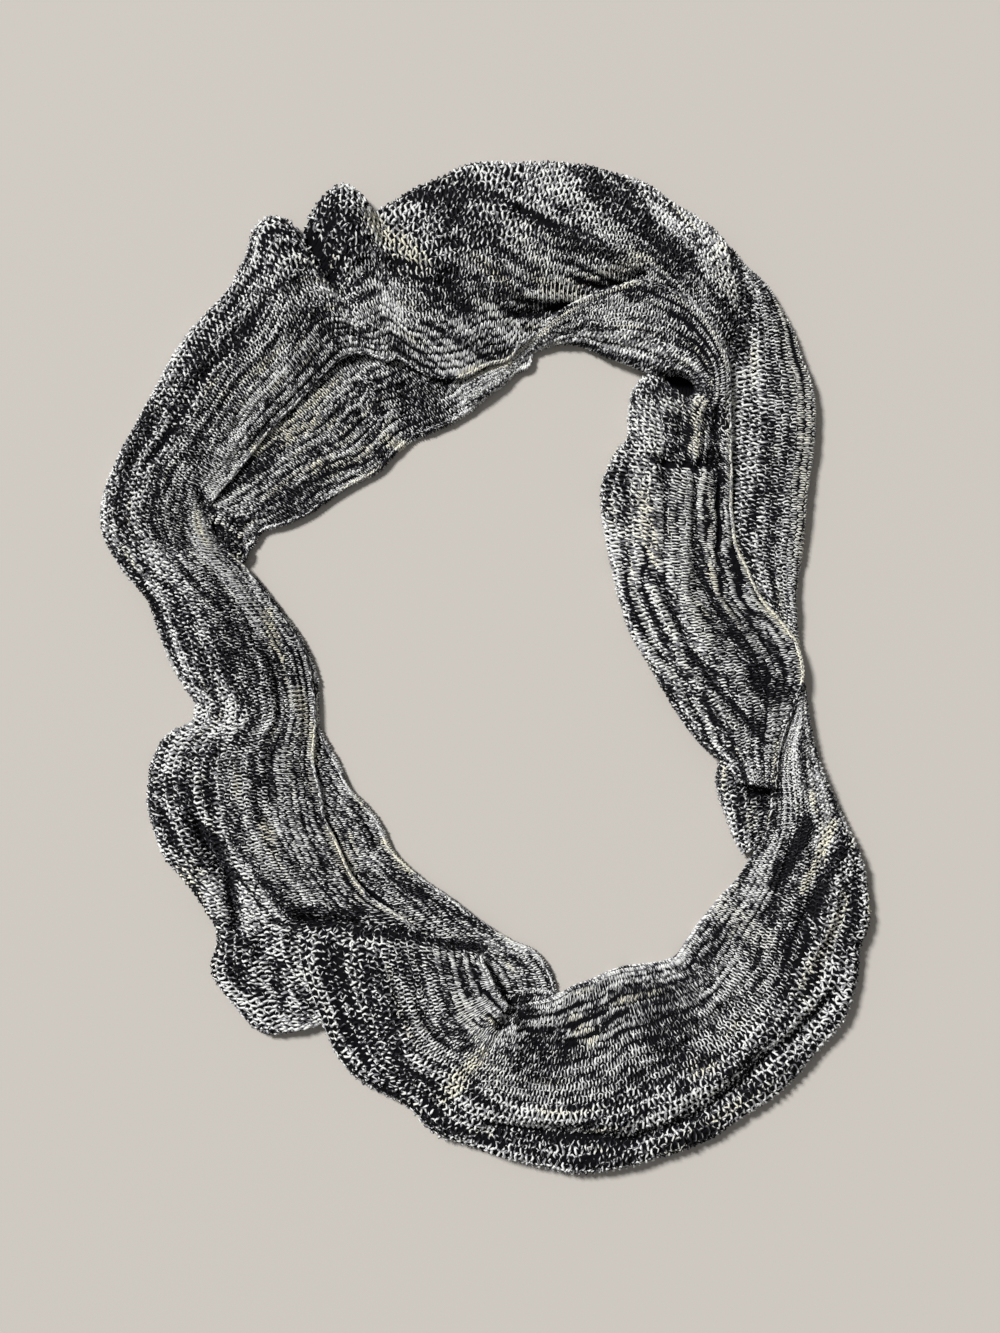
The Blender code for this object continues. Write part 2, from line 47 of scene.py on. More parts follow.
crownWall = (
    (175, 318, 180, 229, 14, 0, 9, 11, 9),
    (172, 322, 175, 235, 10, 0, 11, 17, 14),
    (165, 328, 165, 248, 4, 0, 12, 20, 15),
    (153, 336, 152, 264, 0, 0, 13, 21, 13),
    (138, 345, 135, 273, 0, 0, 13, 20, 10),
    (121, 357, 115, 278, 0, 0, 13, 20, 9),
    (100, 365, 94, 272, 0, 0, 13, 20, 8),
    (78, 371, 74, 269, 0, 0, 13, 20, 8),
    (57, 374, 54, 260, 0, 0, 13, 20, 10),
    (39, 374, 37, 247, 0, 0, 13, 20, 11),
    (26, 374, 24, 236, 0, 0, 13, 19, 12),
    (15, 374, 19, 229, 0, 0, 13, 18, 11),
    (-11, 374, 1, 223, 0, 0, 13, 18, 11),
    (-33, 363, -14, 215, 0, 0, 13, 18, 11),
    (-58, 352, -27, 214, 0, 0, 13, 18, 11),
    (-73, 343, -38, 215, 0, 0, 12, 17, 11),
    (-84, 340, -47, 219, 0, 0, 10, 17, 11),
    (-92, 350, -56, 224, 0, 0, 13, 18, 12),
    (-104, 357, -64, 229, 0, 0, 14, 19, 12),
    (-118, 349, -70, 227, 0, 0, 14, 19, 12),
    (-129, 336, -78, 229, 0, 0, 13, 18, 12),
    (-136, 323, -84, 232, 0, 0, 10, 17, 12),
    (-147, 331, -90, 232, 0, 0, 13, 19, 12),
    (-161, 333, -97, 232, 0, 0, 14, 20, 12),
    (-170, 326, -104, 230, 0, 0, 13, 20, 11),
    (-176, 309, -116, 220, 0, 0, 12, 19, 10),
    (-187, 286, -131, 205, 0, 0, 12, 18, 10),
    (-209, 261, -144, 192, 0, 0, 12, 17, 9),
    (-229, 235, -158, 178, 0, 0, 12, 17, 9),
    (-244, 207, -171, 162, 0, 0, 12, 16, 9),
    (-258, 181, -185, 144, 0, 0, 12, 16, 9),
    (-271, 157, -199, 128, 0, 0, 12, 15, 9),
    (-280, 135, -205, 113, 0, 0, 12, 15, 10),
    (-284, 115, -201, 98, 0, 0, 12, 15, 11),
    (-282, 99, -192, 87, 0, 0, 12, 15, 11),
    (-269, 75, -176, 72, 0, 0, 12, 15, 9),
    (-251, 53, -161, 52, 0, 0, 12, 15, 8),
    (-241, 28, -144, 29, 0, 0, 12, 16, 8),
    (-233, 6, -133, 10, 0, 0, 12, 16, 8),
    (-223, -13, -129, -7, 0, 0, 11, 16, 8),
    (-214, -28, -127, -23, 0, 0, 10, 16, 8),
    (-220, -42, -126, -38, 0, 0, 11, 17, 8),
    (-235, -50, -126, -52, 0, 0, 12, 18, 8),
    (-245, -66, -127, -68, 0, 0, 13, 19, 9),
    (-250, -89, -122, -90, 0, 0, 13, 20, 10),
    (-248, -112, -118, -112, 0, 0, 13, 20, 10),
    (-239, -137, -109, -130, 0, 0, 12, 18, 10),
    (-222, -157, -100, -151, 0, 0, 12, 17, 10),
    (-208, -176, -84, -170, 0, 0, 12, 15, 10),
    (-198, -197, -61, -185, 0, 0, 11, 12, 9),
    (-203, -225, -44, -198, 0, 0, 11, 11, 8),
    (-187, -248, -33, -212, 0, 0, 10, 11, 8),
    (-159, -271, -26, -235, 0, 0, 9, 10, 8),
    (-124, -263, -24, -243, 0, 0, 8, 8, 8),
)

crownWallSpans = (
    ("top_fold", 0, 10),
    ("top_upper", 10, 21),
    ("upper_left_upper", 21, 34),
    ("left_upper", 34, 53),
)

footWall = (
    (236, -12, 233, -18, 0, 0, 9, 10, 9),
    (238, -30, 226, -43, 0, 0, 11, 12, 11),
    (243, -55, 216, -61, 0, 0, 12, 14, 12),
    (251, -80, 212, -81, 0, 0, 13, 16, 14),
    (258, -96, 212, -102, 0, 0, 13, 17, 14),
    (264, -110, 210, -120, 0, 0, 13, 18, 13),
    (276, -135, 197, -141, 0, 0, 13, 18, 10),
    (283, -161, 186, -158, 0, 0, 13, 18, 9),
    (284, -188, 175, -169, 0, 0, 13, 18, 9),
    (278, -209, 166, -180, 0, 0, 12, 18, 9),
    (275, -234, 157, -191, 0, 0, 13, 18, 9),
    (265, -260, 150, -201, 0, 0, 13, 18, 9),
    (244, -285, 142, -214, 0, 0, 13, 19, 9),
    (218, -314, 131, -218, 0, 0, 13, 19, 9),
    (189, -334, 117, -221, 0, 0, 13, 19, 9),
    (160, -352, 103, -222, 0, 0, 13, 19, 9),
    (130, -362, 90, -226, 0, 0, 13, 19, 9),
    (100, -371, 78, -232, 0, 0, 13, 19, 9),
    (70, -374, 65, -236, 0, 0, 13, 19, 9),
    (41, -369, 53, -243, 0, 0, 13, 19, 10),
    (15, -363, 35, -248, 0, 0, 13, 19, 11),
    (-11, -354, 23, -250, 0, 0, 13, 20, 13),
    (-36, -345, 17, -249, 0, 0, 13, 20, 15),
    (-60, -323, 15, -246, 0, 0, 13, 21, 16),
    (-81, -312, 13, -244, 0, 0, 13, 21, 16),
    (-98, -301, 12, -241, 0, 0, 13, 21, 17),
    (-109, -287, 10, -238, 0, 2, 13, 21, 17),
    (-117, -269, 7, -233, 1, 8, 16, 21, 17),
    (-124, -250, 5, -229, 4, 12, 19, 21, 17),
    (-131, -232, 3, -224, 7, 12, 19, 21, 17),
    (-136, -214, 1, -221, 10, 12, 19, 21, 17),
    (-138, -201, -1, -218, 13, 12, 18, 20, 16),
    (-138, -195, -2, -214, 15, 10, 12, 14, 12),
)

footWallSpans = (
    ("bottom_right_upper", 0, 11),
    ("bottom_upper", 11, 19),
    ("bottom_left_upper", 19, 32),
)

outerWall = (
    (176, 311, 183, 310, 0, 0, 9, 9, 9),
    (177, 298, 194, 297, 0, 0, 11, 11, 11),
    (181, 283, 209, 283, 0, 0, 12.8, 12, 12),
    (184, 267, 219, 267, 0, 0, 12.8, 12, 12),
    (183, 250, 227, 252, 0, 0, 12.8, 12, 12),
    (178, 232, 234, 233, 0, 0, 11, 11, 12),
    (174, 209, 243, 209, 0, 0, 8, 10, 12),
    (172, 184, 245, 184, 0, 0, 5, 9, 12),
    (172, 158, 243, 156, 0, 0, 5, 9, 12),
    (172, 132, 239, 130, 0, 0, 5, 9, 12),
    (173, 108, 237, 104, 0, 0, 5, 9, 12),
    (177, 87, 234, 80, 0, 0, 5, 9, 11),
    (186, 65, 231, 56, 0, 0, 5, 8, 11),
    (198, 46, 231, 34, 0, 0, 5, 7, 10),
    (212, 30, 233, 15, 0, 0, 4, 6, 8),
    (225, 13, 235, 0, 0, 0, 4, 5, 7),
)

outerWallSpans = (
    ("right_outer", 0, 15),
)

innerWall = (
    (-13, 193, -17, 209, 0, 4, 7, 7, 6),
    (1, 203, -2, 218, 0, 4, 8, 8, 7),
    (13, 212, 10, 223, 0, 4, 8, 8, 8),
    (24, 224, 19, 231, 0, 3, 8, 9, 8),
    (34, 234, 30, 240, 0, 1, 8, 9, 9),
    (44, 239, 40, 251, 0, 0, 9, 11, 10),
    (56, 242, 54, 261, 0, 0, 10, 13, 13),
    (72, 240, 72, 271, 0, 0, 12, 15, 15),
    (90, 232, 91, 278, 0, 0, 13, 17, 17),
    (106, 226, 115, 284, 0, 0, 14, 19, 18),
    (121, 220, 132, 279, 0, 0, 15, 20, 18),
    (132, 218, 150, 269, 0, 0, 17, 21, 18),
    (144, 218, 164, 255, 0, 0, 18, 21, 18),
    (152, 215, 172, 239, 0, 0, 18, 21, 18),
    (157, 209, 178, 223, 0, 0, 18, 21, 18),
    (155, 201, 179, 209, 0, 0, 17, 21, 18),
    (149, 198, 180, 199, 0, 0, 17, 21, 17),
    (142, 198, 180, 191, 0, 0, 17, 20, 16),
    (136, 201, 180, 184, 0, 0, 17, 20, 15),
    (132, 207, 181, 177, 0, 0, 16, 20, 14),
    (128, 214, 181, 171, 0, 0, 15, 20, 14),
    (122, 216, 181, 165, 0, 0, 14, 19, 13),
    (115, 212, 181, 160, 0, 0, 14, 19, 13),
    (110, 204, 181, 154, 0, 0, 14, 19, 13),
    (108, 195, 182, 148, 0, 0, 14, 18, 12),
    (107, 184, 182, 141, 0, 0, 14, 17, 12),
    (106, 171, 182, 133, 0, 0, 13, 17, 11),
    (98, 161, 182, 126, 0, 0, 13, 17, 10),
    (91, 147, 182, 118, 0, 0, 13, 17, 10),
    (87, 132, 183, 110, 0, 0, 13, 17, 10),
    (87, 115, 184, 101, 0, 0, 13, 17, 10),
    (90, 95, 186, 89, 0, 0, 13, 17, 10),
    (95, 74, 194, 73, 0, 0, 13, 17, 10),
    (101, 49, 205, 50, 0, 0, 13, 17, 10),
    (109, 24, 218, 36, 0, 0, 13, 17, 11),
    (124, 0, 231, 17, 0, 0, 13, 18, 12),
    (135, -19, 235, -5, 0, 0, 13, 18, 13),
    (147, -38, 229, -26, 0, 0, 13, 19, 14),
    (159, -54, 221, -44, 0, 0, 13, 20, 15),
    (169, -64, 216, -59, 0, 4, 14, 20, 16),
    (179, -73, 214, -74, 0, 12, 19, 20, 18),
    (187, -84, 213, -89, 0, 12, 19, 19, 18),
)

innerWallSpans = (
    ("curl_strip", 0, 15),
    ("right_inner", 15, 41),
)

lobeWall = (
    (175, -70, 217, -62, 0, 0, 9, 9, 8),
    (172, -84, 218, -77, 0, 0, 10, 9, 8),
    (175, -98, 219, -92, 0, 0, 11, 10, 8),
    (180, -111, 218, -104, 0, 0, 11, 10, 8),
    (185, -126, 215, -117, 0, 0, 10, 9, 8),
    (192, -138, 206, -130, 0, 0, 8, 8, 7),
)

lobeWallSpans = (
    ("twist_lobe", 0, 5),
)

crownUnder = (
    (147, 330, 147, 226, 0, 0, 9, 15, 10, 38),
    (135, 338, 135, 226, 0, 0, 9, 15, 9, 47),
    (117, 349, 119, 229, 0, 0, 9, 15, 8, 48),
    (98, 357, 104, 235, 0, 0, 9, 15, 7, 38),
    (77, 363, 87, 243, 0, 0, 9, 15, 6, 27),
    (56, 366, 72, 251, 0, 0, 9, 15, 6, 12),
    (36, 367, 49, 249, 0, 0, 9, 14, 5, 0),
    (19, 366, 34, 239, 0, 0, 9, 13, 5, 0),
    (14, 366, 34, 229, 0, 0, 10, 12, 5, 60),
    (-10, 366, 24, 221, 0, 0, 10, 12, 5, 45),
    (-32, 357, 17, 215, 0, 0, 10, 12, 5, 25),
    (-56, 345, 12, 210, 0, 0, 10, 12, 5, 21),
    (-71, 337, 8, 207, 0, 0, 9, 11, 5, 31),
    (-82, 334, 4, 205, 0, 0, 8, 11, 5, 40),
    (-90, 344, 1, 202, 0, 0, 10, 12, 5, 49),
    (-102, 350, -3, 199, 0, 0, 11, 13, 5, 59),
    (-115, 342, -7, 196, 0, 0, 11, 13, 5, 63),
    (-125, 329, -11, 192, 0, 0, 10, 12, 5, 71),
    (-135, 316, -16, 189, 0, 0, 8, 11, 5, 78),
    (-144, 324, -24, 184, 0, 0, 9, 12, 5, 80),
    (-155, 326, -33, 180, 0, 0, 10, 13, 5, 81),
    (-164, 320, -42, 176, 0, 0, 10, 13, 5, 81),
    (-169, 305, -54, 170, 0, 0, 9, 12, 5, 78),
    (-181, 279, -67, 161, 0, 0, 9, 12, 5, 76),
    (-204, 255, -79, 148, 0, 0, 9, 12, 5, 78),
    (-222, 230, -97, 138, 0, 0, 9, 11, 5, 73),
    (-238, 203, -115, 127, 0, 0, 9, 11, 5, 66),
    (-252, 177, -132, 115, 0, 0, 9, 10, 5, 60),
    (-264, 154, -150, 107, 0, 0, 9, 10, 5, 53),
    (-273, 132, -167, 102, 0, 0, 9, 9, 5, 39),
    (-278, 115, -173, 92, 0, 0, 9, 10, 5, 29),
    (-275, 98, -180, 81, 0, 0, 9, 10, 5, 13),
    (-276, 98, -181, 79, 0, 0, 9, 11, 4, 12),
    (-262, 75, -172, 67, 0, 0, 9, 11, 4, 4),
    (-244, 53, -156, 47, 0, 0, 9, 11, 4, 5),
    (-235, 28, -138, 23, 0, 0, 9, 12, 4, 5),
    (-226, 6, -129, 5, 0, 0, 9, 12, 4, 4),
    (-216, -13, -125, -12, 0, 0, 8, 12, 4, 4),
    (-207, -28, -125, -27, 0, 0, 7, 12, 4, 1),
    (-213, -41, -124, -44, 0, 0, 8, 13, 4, 2),
    (-228, -51, -118, -56, 0, 0, 9, 14, 4, 8),
    (-238, -66, -109, -73, 0, 0, 10, 15, 4, 18),
    (-243, -89, -103, -89, 0, 0, 10, 16, 5, 19),
    (-241, -112, -90, -102, 0, 0, 10, 16, 5, 29),
    (-232, -135, -78, -118, 0, 0, 9, 14, 5, 32),
    (-215, -155, -70, -136, 0, 0, 9, 14, 5, 32),
    (-201, -173, -50, -156, 0, 0, 9, 13, 5, 35),
    (-192, -197, -27, -172, 0, 0, 9, 11, 5, 36),
    (-196, -222, -3, -190, 0, 0, 9, 10, 5, 42),
    (-179, -240, 19, -203, 0, 0, 8, 9, 5, 53),
    (-152, -259, 38, -212, 0, 0, 7, 8, 5, 67),
    (-122, -250, 50, -231, 0, 0, 5, 5, 4, 75),
    (-115, -263, 53, -246, 0, 0, 5, 5, 4, 45),
)

crownUnderSpans = (
    ("top_fold_under", 0, 7),
    ("top_under", 7, 18),
    ("upper_left_under", 18, 31),
    ("left_under", 31, 52),
)

footUnder = (
    (243, -77, 223, -87, 0, 0, 9, 11, 7, 0),
    (257, -112, 215, -124, 0, 0, 9, 13, 6, 0),
    (269, -137, 201, -145, 0, 0, 9, 14, 5, 0),
    (277, -161, 189, -161, 0, 0, 9, 14, 5, 0),
    (278, -185, 178, -171, 0, 0, 9, 14, 5, 0),
    (271, -206, 169, -182, 0, 0, 9, 14, 5, 0),
    (268, -230, 160, -193, 0, 0, 9, 14, 5, 0),
    (259, -255, 153, -204, 0, 0, 9, 14, 5, 0),
    (240, -279, 144, -216, 0, 0, 9, 15, 5, 0),
    (215, -306, 132, -221, 0, 0, 9, 15, 5, 0),
    (186, -327, 118, -223, 0, 0, 9, 15, 5, 0),
    (158, -344, 104, -225, 0, 0, 9, 15, 5, 0),
    (128, -354, 92, -229, 0, 0, 9, 15, 5, 0),
    (99, -364, 79, -235, 0, 0, 9, 15, 5, 0),
    (70, -366, 67, -239, 0, 0, 9, 15, 5, 0),
    (42, -361, 55, -245, 0, 0, 9, 15, 5, 0),
    (17, -356, 41, -240, 0, 0, 9, 15, 6, 9),
    (-8, -347, 15, -243, 0, 0, 9, 15, 7, 4),
    (-32, -337, -11, -247, 0, 0, 9, 15, 8, 0),
    (-51, -318, -41, -252, 0, 0, 9, 14, 8, 0),
    (-70, -309, -67, -255, 0, 0, 9, 13, 8, 0),
    (-88, -297, -91, -260, 0, 0, 8, 11, 8, 0),
)

footUnderSpans = (
    ("bottom_right_under", 0, 7),
    ("bottom_under", 7, 15),
    ("bottom_left_under", 15, 21),
)

# This lower layer gets no yarn, only its nearly black shell; where the shell shows, in the hole at
# the mouth of the curl, it is painted shade.
rightUnder = (
    (133, 219, 162, 216, 0, 0, 1, 1, 1, 0),
    (132, 210, 164, 204, 0, 0, 1, 1, 1, 0),
    (130, 203, 164, 195, 0, 0, 2, 2, 2, 0),
    (122, 192, 164, 184, 0, 0, 8, 9, 5, 0),
    (114, 176, 166, 169, 0, 0, 10, 11, 5, 0),
    (103, 157, 167, 152, 0, 0, 10, 12, 5, 0),
    (95, 137, 167, 132, 0, 0, 10, 12, 5, 0),
    (94, 115, 168, 110, 0, 0, 10, 12, 5, 0),
    (98, 95, 172, 90, 0, 0, 10, 12, 5, 0),
    (103, 75, 181, 72, 0, 0, 10, 12, 5, 0),
    (108, 51, 192, 50, 0, 0, 10, 12, 5, 0),
    (116, 27, 206, 34, 0, 0, 10, 12, 5, 0),
    (130, 4, 219, 14, 0, 0, 10, 12, 6, 0),
    (142, -15, 226, -7, 0, 0, 10, 12, 8, 0),
    (153, -33, 221, -25, 0, 0, 10, 12, 8, 0),
    (165, -48, 213, -42, 0, 0, 10, 12, 9, 0),
    (174, -56, 208, -53, 0, 0, 9, 11, 9, 0),
)

rightUnderSpans = (
    ("right_under", 0, 16),
)


# Pale, dark and cream streaks. Most are the yarn's own colour; the rows marked below are
# painted shade in troughs, hollows and under free edges, and one pair is a painted highlight
# along a lit edge.
# fromX, fromY, toX, toY, half width, how pale it is and how creamy
streaksAndPaintedLight = (
    (-11, -222, 11, -246, 6.7, 0.4, 0),
    # Painted shadow: a dark line above the edge of the bottom arm's end, where it lies over the
    # left arm, and a dark pocket beside it.
    (-140, -187, -50, -198, 2.6, -0.1, 0),
    (-50, -198, -1, -209, 2.2, -0.1, 0),
    (-138, -180, -98, -185, 5.2, -0.05, 0),
    # A painted highlight along that lit edge.
    (-138, -197, -50, -205, 2.2, 0.85, 0.1),
    (-50, -205, -2, -217, 2.2, 0.8, 0.1),
    # Painted shadow on the lobe beside the bottom arm.
    (-155, -218, -150, -252, 3.7, 0.0, 0),
    (-204, 250, -144, 309, 8.9, 0.6, 0),
    (126, 169, 106, 95, 5.9, 0.65, 0.3),
    (-73, -155, -35, -176, 2.6, -0.1, 0),
    (-35, -176, -1, -202, 2.6, -0.1, 0),
    (-92, -178, -58, -192, 2.6, -0.1, 0),
    (-94, -170, -50, -189, 1.9, 0.9, 0.6),
    (-100, -98, -84, -132, 3.0, 0.15, 0),
    (-11, -186, 33, -225, 2.2, 0.05, 0),
    (-41, -175, 11, -209, 3.0, 0.65, 0),
    (-115, -201, -104, -275, 3.7, 0.1, 0),
    (-78, -216, -59, -297, 3.7, 0.1, 0),
    (-137, -209, -115, -275, 6.7, 0.75, 0.1),
    (-41, -216, -11, -283, 3.0, 0.1, 0),
    (-104, -198, -78, -283, 5.9, 0.6, 0.1),
    (-22, -235, 11, -305, 5.2, 0.7, 0.2),
    (144, 147, 146, 58, 6.7, 0.8, 0.1),
    (162, 143, 166, 65, 4.4, 0.75, 0.3),
    (115, 139, 124, 80, 5.2, 0.75, 0.8),
    (118, 187, 115, 139, 8.9, 0.65, 0.1),
    (222, 265, 238, 184, 7.4, 0.75, 0.4),
    (238, 184, 235, 80, 5.2, 0.8, 0.6),
    (196, 184, 198, 110, 8.9, 0.55, 0),
    (211, 184, 212, 95, 3.7, 0.15, 0),
    # Painted shade in the troughs along the mesh lip on the top.
    (16, 260, 66, 269, 4.4, 0.0, 0),
    (69, 281, 115, 292, 4.4, 0.02, 0),
    (107, 275, 135, 278, 3.7, 0.05, 0),
    (15, 227, 33, 241, 1.5, 0.85, 0.8),
    (33, 241, 72, 269, 1.6, 0.85, 0.8),
    (72, 269, 112, 283, 1.5, 0.85, 0.8),
    (-17, 216, 16, 226, 3.0, 0.9, 1),
    (4, 341, 70, 274, 8.1, 0.85, 0.15),
    (-16, 354, 26, 337, 5.2, 0.1, 0),
    (26, 337, 61, 314, 5.2, 0.12, 0),
    (61, 314, 110, 296, 4.4, 0.15, 0),
    (46, 363, 105, 311, 5.9, 0.75, 0.1),
    (82, 357, 147, 296, 8.1, 0.05, 0),
    (-36, 343, 5, 320, 6.7, 0.15, 0),
    # Painted shade in the trough of the whirl on the crown.
    (-27, 283, -13, 266, 6.7, 0.0, 0),
    (-84, 330, -48, 300, 6.7, 0.85, 1),
    # Painted shade on the shaded side of the second lobe and in the valley below it.
    (-124, 349, -98, 317, 10.4, 0.15, 0),
    (-98, 317, -74, 287, 5.9, 0.2, 0),
    (56, 280, 115, 300, 3.7, 0.85, 0.6),
    (141, 272, 168, 246, 1.9, 0.85, 0.6),
    (168, 246, 178, 219, 1.5, 0.8, 0.5),
    (171, 300, 187, 272, 7.4, 0.75, 0.3),
    (180, 320, 192, 272, 3.0, 0.05, 0),
    (192, 272, 183, 231, 3.7, 0.05, 0),
    (-4, 269, 22, 254, 4.4, 0.8, 0.2),
    (41, 280, 69, 272, 3.7, 0.85, 0.6),
    # Painted shade in the notch at the mouth of the curl.
    (135, 216, 155, 200, 6.7, 0.0, 0),
    (131, 195, 153, 189, 3.7, 0.75, 0.3),
    (159, 195, 155, 158, 3.7, 0.85, 0.9),
    # Painted shadow below the fold of the cuff.
    (121, 152, 168, 149, 2.2, 0.1, 0),
    (128, 189, 131, 160, 4.4, 0.7, 0),
    # Painted shade in the hollow of the pucker.
    (15, -246, 26, -255, 5.9, 0.1, 0),
    (178, 202, 181, 147, 1.3, 0.75, 0.6),
    (181, 147, 185, 91, 1.5, 0.8, 0.8),
    (185, 91, 205, 49, 1.8, 0.9, 0.9),
    (205, 49, 231, 19, 2.2, 1.0, 1),
    (231, 19, 235, -9, 2.2, 1.0, 1),
    # Painted shade in the troughs between the cords of the right arm.
    (169, 184, 172, 80, 1.9, 0.1, 0),
    (155, 147, 155, 58, 1.5, 0.08, 0),
    (133, 184, 133, 80, 1.5, 0.08, 0),
    (-33, -227, 15, -246, 7.4, 0.5, 0),
    (164, 74, 182, 30, 3.0, 0.9, 1),
    # Painted shadow under the free edge at the twist.
    (209, -10, 228, -21, 6.7, 0.05, 0),
    (195, -90, 213, -93, 3.7, 0.0, 0),
    (238, -117, 215, -158, 5.9, -0.2, 0),
    (257, -114, 233, -163, 3.3, 1.0, 1),
    (263, -132, 239, -178, 4.4, -0.2, 0),
    (226, -160, 190, -201, 3.7, 0.1, 0),
    # Painted shade in the troughs of the twisted strip.
    (115, 58, 138, 6, 2.2, -0.1, 0),
    (138, 6, 183, -56, 2.2, -0.1, 0),
    (132, 61, 152, 6, 2.6, -0.15, 0),
    (152, 6, 208, -55, 2.6, -0.15, 0),
    (159, 71, 180, 31, 2.6, -0.1, 0),
    (180, 31, 216, -25, 2.6, -0.1, 0),
    (104, 69, 122, 21, 3.0, 0.8, 0.2),
    (122, 21, 171, -50, 3.0, 0.75, 0.2),
    (124, 58, 144, 6, 2.6, 0.8, 0.2),
    (144, 6, 196, -56, 2.6, 0.75, 0.1),
    (147, 58, 168, 13, 3.0, 0.8, 0.2),
    (168, 13, 214, -44, 3.0, 0.75, 0),
    (192, 41, 212, 6, 3.0, -0.1, 0),
    (198, 21, 215, -3, 3.0, 0.6, 0),
    (174, -175, 204, -198, 7.4, 0.8, 0.3),
    (266, -172, 233, -238, 5.2, 0.8, 0.8),
    (66, -260, 79, -271, 5.2, 0.9, 1),
    (-4, -283, -29, -317, 5.2, 0.85, 1),
    (126, -272, 144, -290, 7.4, 0.1, 0),
    # Painted shade along the long trough of the bottom arm.
    (11, -346, 100, -350, 4.4, 0.05, 0),
    (100, -350, 159, -330, 4.4, 0.05, 0),
    (159, -330, 206, -286, 3.7, 0.05, 0),
    # Painted shade in the hollow of the pucker.
    (22, -249, 33, -252, 4.4, 0.02, 0),
    # Painted shade in the trough at the pinch of the left arm.
    (-212, 130, -191, 89, 3.7, 0.03, 0),
    (-204, 111, -175, 96, 1.9, 0.6, 0.4),
    # Painted shade in the trough of the lower layer beside it.
    (-202, 101, -177, 86, 2.6, 0.0, 0),
    (-74, 169, -48, 160, 3.7, 0.95, 1),
    # Painted shade beside a fold of the lower layer at the upper left.
    (-63, 209, -33, 176, 10.4, 0.12, 0),
    (-169, 161, -107, 216, 3.0, 0.85, 0.9),
    (-147, 172, -128, 181, 4.4, 0.85, 1),
    (-170, 104, -115, 124, 3.0, 0.1, 0),
    # Painted shade along the valley of the left arm.
    (-215, -112, -187, -152, 5.9, -0.2, 0),
    (-232, -83, -214, -114, 4.4, 0.15, 0),
    (-200, -161, -174, -190, 7.4, 0.75, 0),
    # Painted shade in the trough beside the pale band.
    (-190, -157, -184, -190, 4.4, -0.2, 0),
    (-161, 41, -150, 6, 3.0, 0.9, 1),
    (-137, -16, -125, -68, 3.0, 0.85, 1),
    (-115, -120, -92, -166, 3.0, 0.9, 1),
    (-74, -129, -56, -151, 3.0, 0.9, 1),
)

# Creases.
# fromX, fromY, toX, toY, how far it bows, half width and height (a trough is negative)

crownCreases = (
    (-135, 324, -98, 269, 2, 6.7, -12),
    (-81, 340, -61, 293, 0, 6.7, -9),
    (-106, 357, -98, 296, 0, 11.1, 6),
    (-161, 330, -138, 253, 0, 11.1, 6),
    (-121, 300, -82, 235, -3, 6.7, -4.5),
    (-133, 269, -98, 235, 0, 6.7, 4),
    (-61, 300, -24, 239, 4, 7.4, -6),
    (-39, 335, -11, 295, 0, 10.4, 4),
    (-32, 293, -10, 259, -3, 7.4, -6),
    (4, 343, 67, 280, -6, 9.6, 4),
    (-17, 285, 73, 275, -4, 5.2, 4),
    (16, 260, 66, 269, 0, 4.4, -8),
    (66, 281, 122, 293, -3, 5.2, -6),
    (107, 275, 141, 277, 0, 4.4, -3),
    (74, 320, 138, 296, -6, 9.6, 5),
    (18, 343, 92, 318, -4, 6.7, -4),
    (135, 317, 175, 272, -6, 8.1, 4.5),
    (168, 272, 179, 239, -4, 8.9, 4),
    (-11, 250, 16, 234, 0, 5.9, 2),
    (-190, 254, -137, 235, 0, 8.1, -3.5),
    (-229, 189, -187, 234, 1, 4.4, -3),
    (-248, 147, -218, 192, 1, 5.2, -2.5),
    (-272, 147, -240, 200, 1, 5.2, 2),
    (-201, 147, -137, 209, 2, 4.4, 2.5),
    (-214, 147, -165, 192, 2, 3.7, -2.5),
    (-212, 130, -191, 89, -1, 4.4, -7),
    (-240, 124, -215, 80, -3, 5.9, 2.5),
    (-207, 86, -168, 36, -4, 3.7, -2.5),
    (-193, 80, -147, 6, -4, 3.7, 3),
    (-181, 83, -137, 13, -6, 3.0, -2.5),
    (-165, 21, -159, -53, 0, 3.0, 2.5),
    (-155, 24, -149, -53, 0, 3.0, -2.5),
    (-144, 21, -138, -68, 0, 3.0, 2.5),
    (-134, -24, -132, -98, 0, 3.0, -2),
    (-221, -37, -174, -70, 2, 6.7, -5),
    (-235, -53, -208, -107, 0, 8.9, 4.5),
    (-217, -107, -186, -158, -3, 5.9, -11),
    (-240, -68, -211, -120, -3, 7.4, 4),
    (-190, -155, -183, -194, 0, 5.2, -8),
    (-184, -117, -137, -183, -3, 5.9, 5),
    (-165, -98, -115, -172, -4, 3.7, -3),
    (-144, -68, -100, -157, -4, 3.7, 3),
    (-211, -172, -174, -216, 0, 7.4, 3.5),
    (-144, -185, -50, -197, 1, 4.4, -6),
    (-50, -197, 1, -209, 1, 3.7, -4),
    (-165, -194, -153, -253, 0, 5.2, -4),
)

